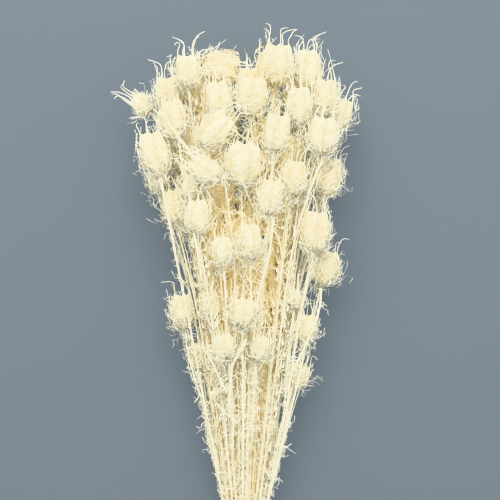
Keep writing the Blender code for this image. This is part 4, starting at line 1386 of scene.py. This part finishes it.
class NIGELLA_OT_lay_stage(bpy.types.Operator):
    """Lay the floor, and place the lights and the camera"""

    bl_idname = "nigella.lay_stage"
    bl_label = "Lay the Stage"

    def execute(self, context):
        """Looks straight down, with the heads at the top and the tie below the lower edge."""
        look = context.scene.nigella_stage
        scene = context.scene
        shift = growth()["shift"]
        mesh = bpy.data.meshes.new("floor")
        far = FLOOR_REACH
        mesh.from_pydata([(-far, -far, 0), (far, -far, 0), (far, far, 0), (-far, far, 0)], [], [(0, 1, 2, 3)])
        floor = bpy.data.objects.new("floor", mesh)
        scene.collection.objects.link(floor)
        material = bpy.data.materials.new("pale floor")
        material.use_nodes = True
        shader = material.node_tree.nodes["Principled BSDF"]
        shader.inputs["Base Color"].default_value = (*look.floor_colour, 1)
        shader.inputs["Emission Color"].default_value = (*look.floor_colour, 1)
        shader.inputs["Emission Strength"].default_value = look.floor_glow
        shader.inputs["Roughness"].default_value = 0.9
        shader.inputs["Specular IOR Level"].default_value = 0.1
        mesh.materials.append(material)
        middle = np.array(VIEW_MIDDLE) + [shift[0], shift[1], 0]
        camera = bpy.data.cameras.new("camera")
        camera.lens = camera.sensor_width * (look.camera_height - middle[2]) / look.framed_width
        eye = bpy.data.objects.new("camera", camera)
        eye.location = (middle[0], middle[1], look.camera_height)
        scene.collection.objects.link(eye)
        scene.camera = eye
        powers = (look.key_power, look.fill_power, look.rear_power)
        for (name, place, size, colour), power in zip(LAMPS, powers):
            lamp = bpy.data.lights.new(name, "AREA")
            lamp.energy, lamp.size, lamp.color = power, size, colour
            stand = bpy.data.objects.new(name, lamp)
            stand.location = middle + place
            aim = np.array(place)
            stand.rotation_euler = (
                math.atan2(math.hypot(aim[0], aim[1]), aim[2]),
                0,
                math.atan2(aim[1], aim[0]) + math.pi / 2,
            )
            scene.collection.objects.link(stand)
        world = bpy.data.worlds.new("studio")
        world.use_nodes = True
        backdrop = world.node_tree.nodes["Background"]
        backdrop.inputs["Color"].default_value = (0.97, 0.98, 1.0, 1)
        backdrop.inputs["Strength"].default_value = look.sky
        scene.world = world
        scene.view_settings.view_transform = "Khronos PBR Neutral"
        return {"FINISHED"}


class NIGELLA_PT_bunch(bpy.types.Panel):
    """Settings and steps for the bunch"""

    bl_label = "Dried Nigella Bunch"
    bl_idname = "NIGELLA_PT_bunch"
    bl_space_type = "VIEW_3D"
    bl_region_type = "UI"
    bl_category = "Nigella"

    def draw(self, context):
        """Lists each group of settings, with the step that uses it."""
        scene = context.scene
        rows = (
            ("Pods and Horns", scene.nigella_pods, None),
            ("Stems", scene.nigella_stalks, None),
            ("Threads", scene.nigella_threads, "nigella.add_stems"),
            ("Twine", scene.nigella_tie, "nigella.add_tie"),
            ("Stage", scene.nigella_stage, "nigella.lay_stage"),
        )
        for title, settings, step in rows:
            box = self.layout.box()
            box.label(text=title)
            for key in settings.__annotations__:
                box.prop(settings, key)
            if step:
                box.operator(step)


SETTINGS = (
    ("nigella_pods", NigellaPodSettings),
    ("nigella_stalks", NigellaStalkSettings),
    ("nigella_threads", NigellaThreadSettings),
    ("nigella_tie", NigellaTieSettings),
    ("nigella_stage", NigellaStageSettings),
)
STEPS = (NIGELLA_OT_add_stems, NIGELLA_OT_add_tie, NIGELLA_OT_lay_stage, NIGELLA_PT_bunch)


def register():
    """Registers the settings, steps and panel."""
    for name, kind in SETTINGS:
        bpy.utils.register_class(kind)
        setattr(bpy.types.Scene, name, bpy.props.PointerProperty(type=kind))
    for kind in STEPS:
        bpy.utils.register_class(kind)


def unregister():
    """Takes them away again."""
    for kind in reversed(STEPS):
        bpy.utils.unregister_class(kind)
    for name, kind in reversed(SETTINGS):
        delattr(bpy.types.Scene, name)
        bpy.utils.unregister_class(kind)


def main():
    """Takes every step in order."""
    register()
    bpy.ops.nigella.add_stems()
    bpy.ops.nigella.add_tie()
    bpy.ops.nigella.lay_stage()
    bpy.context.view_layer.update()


if __name__ == "__main__":
    main()
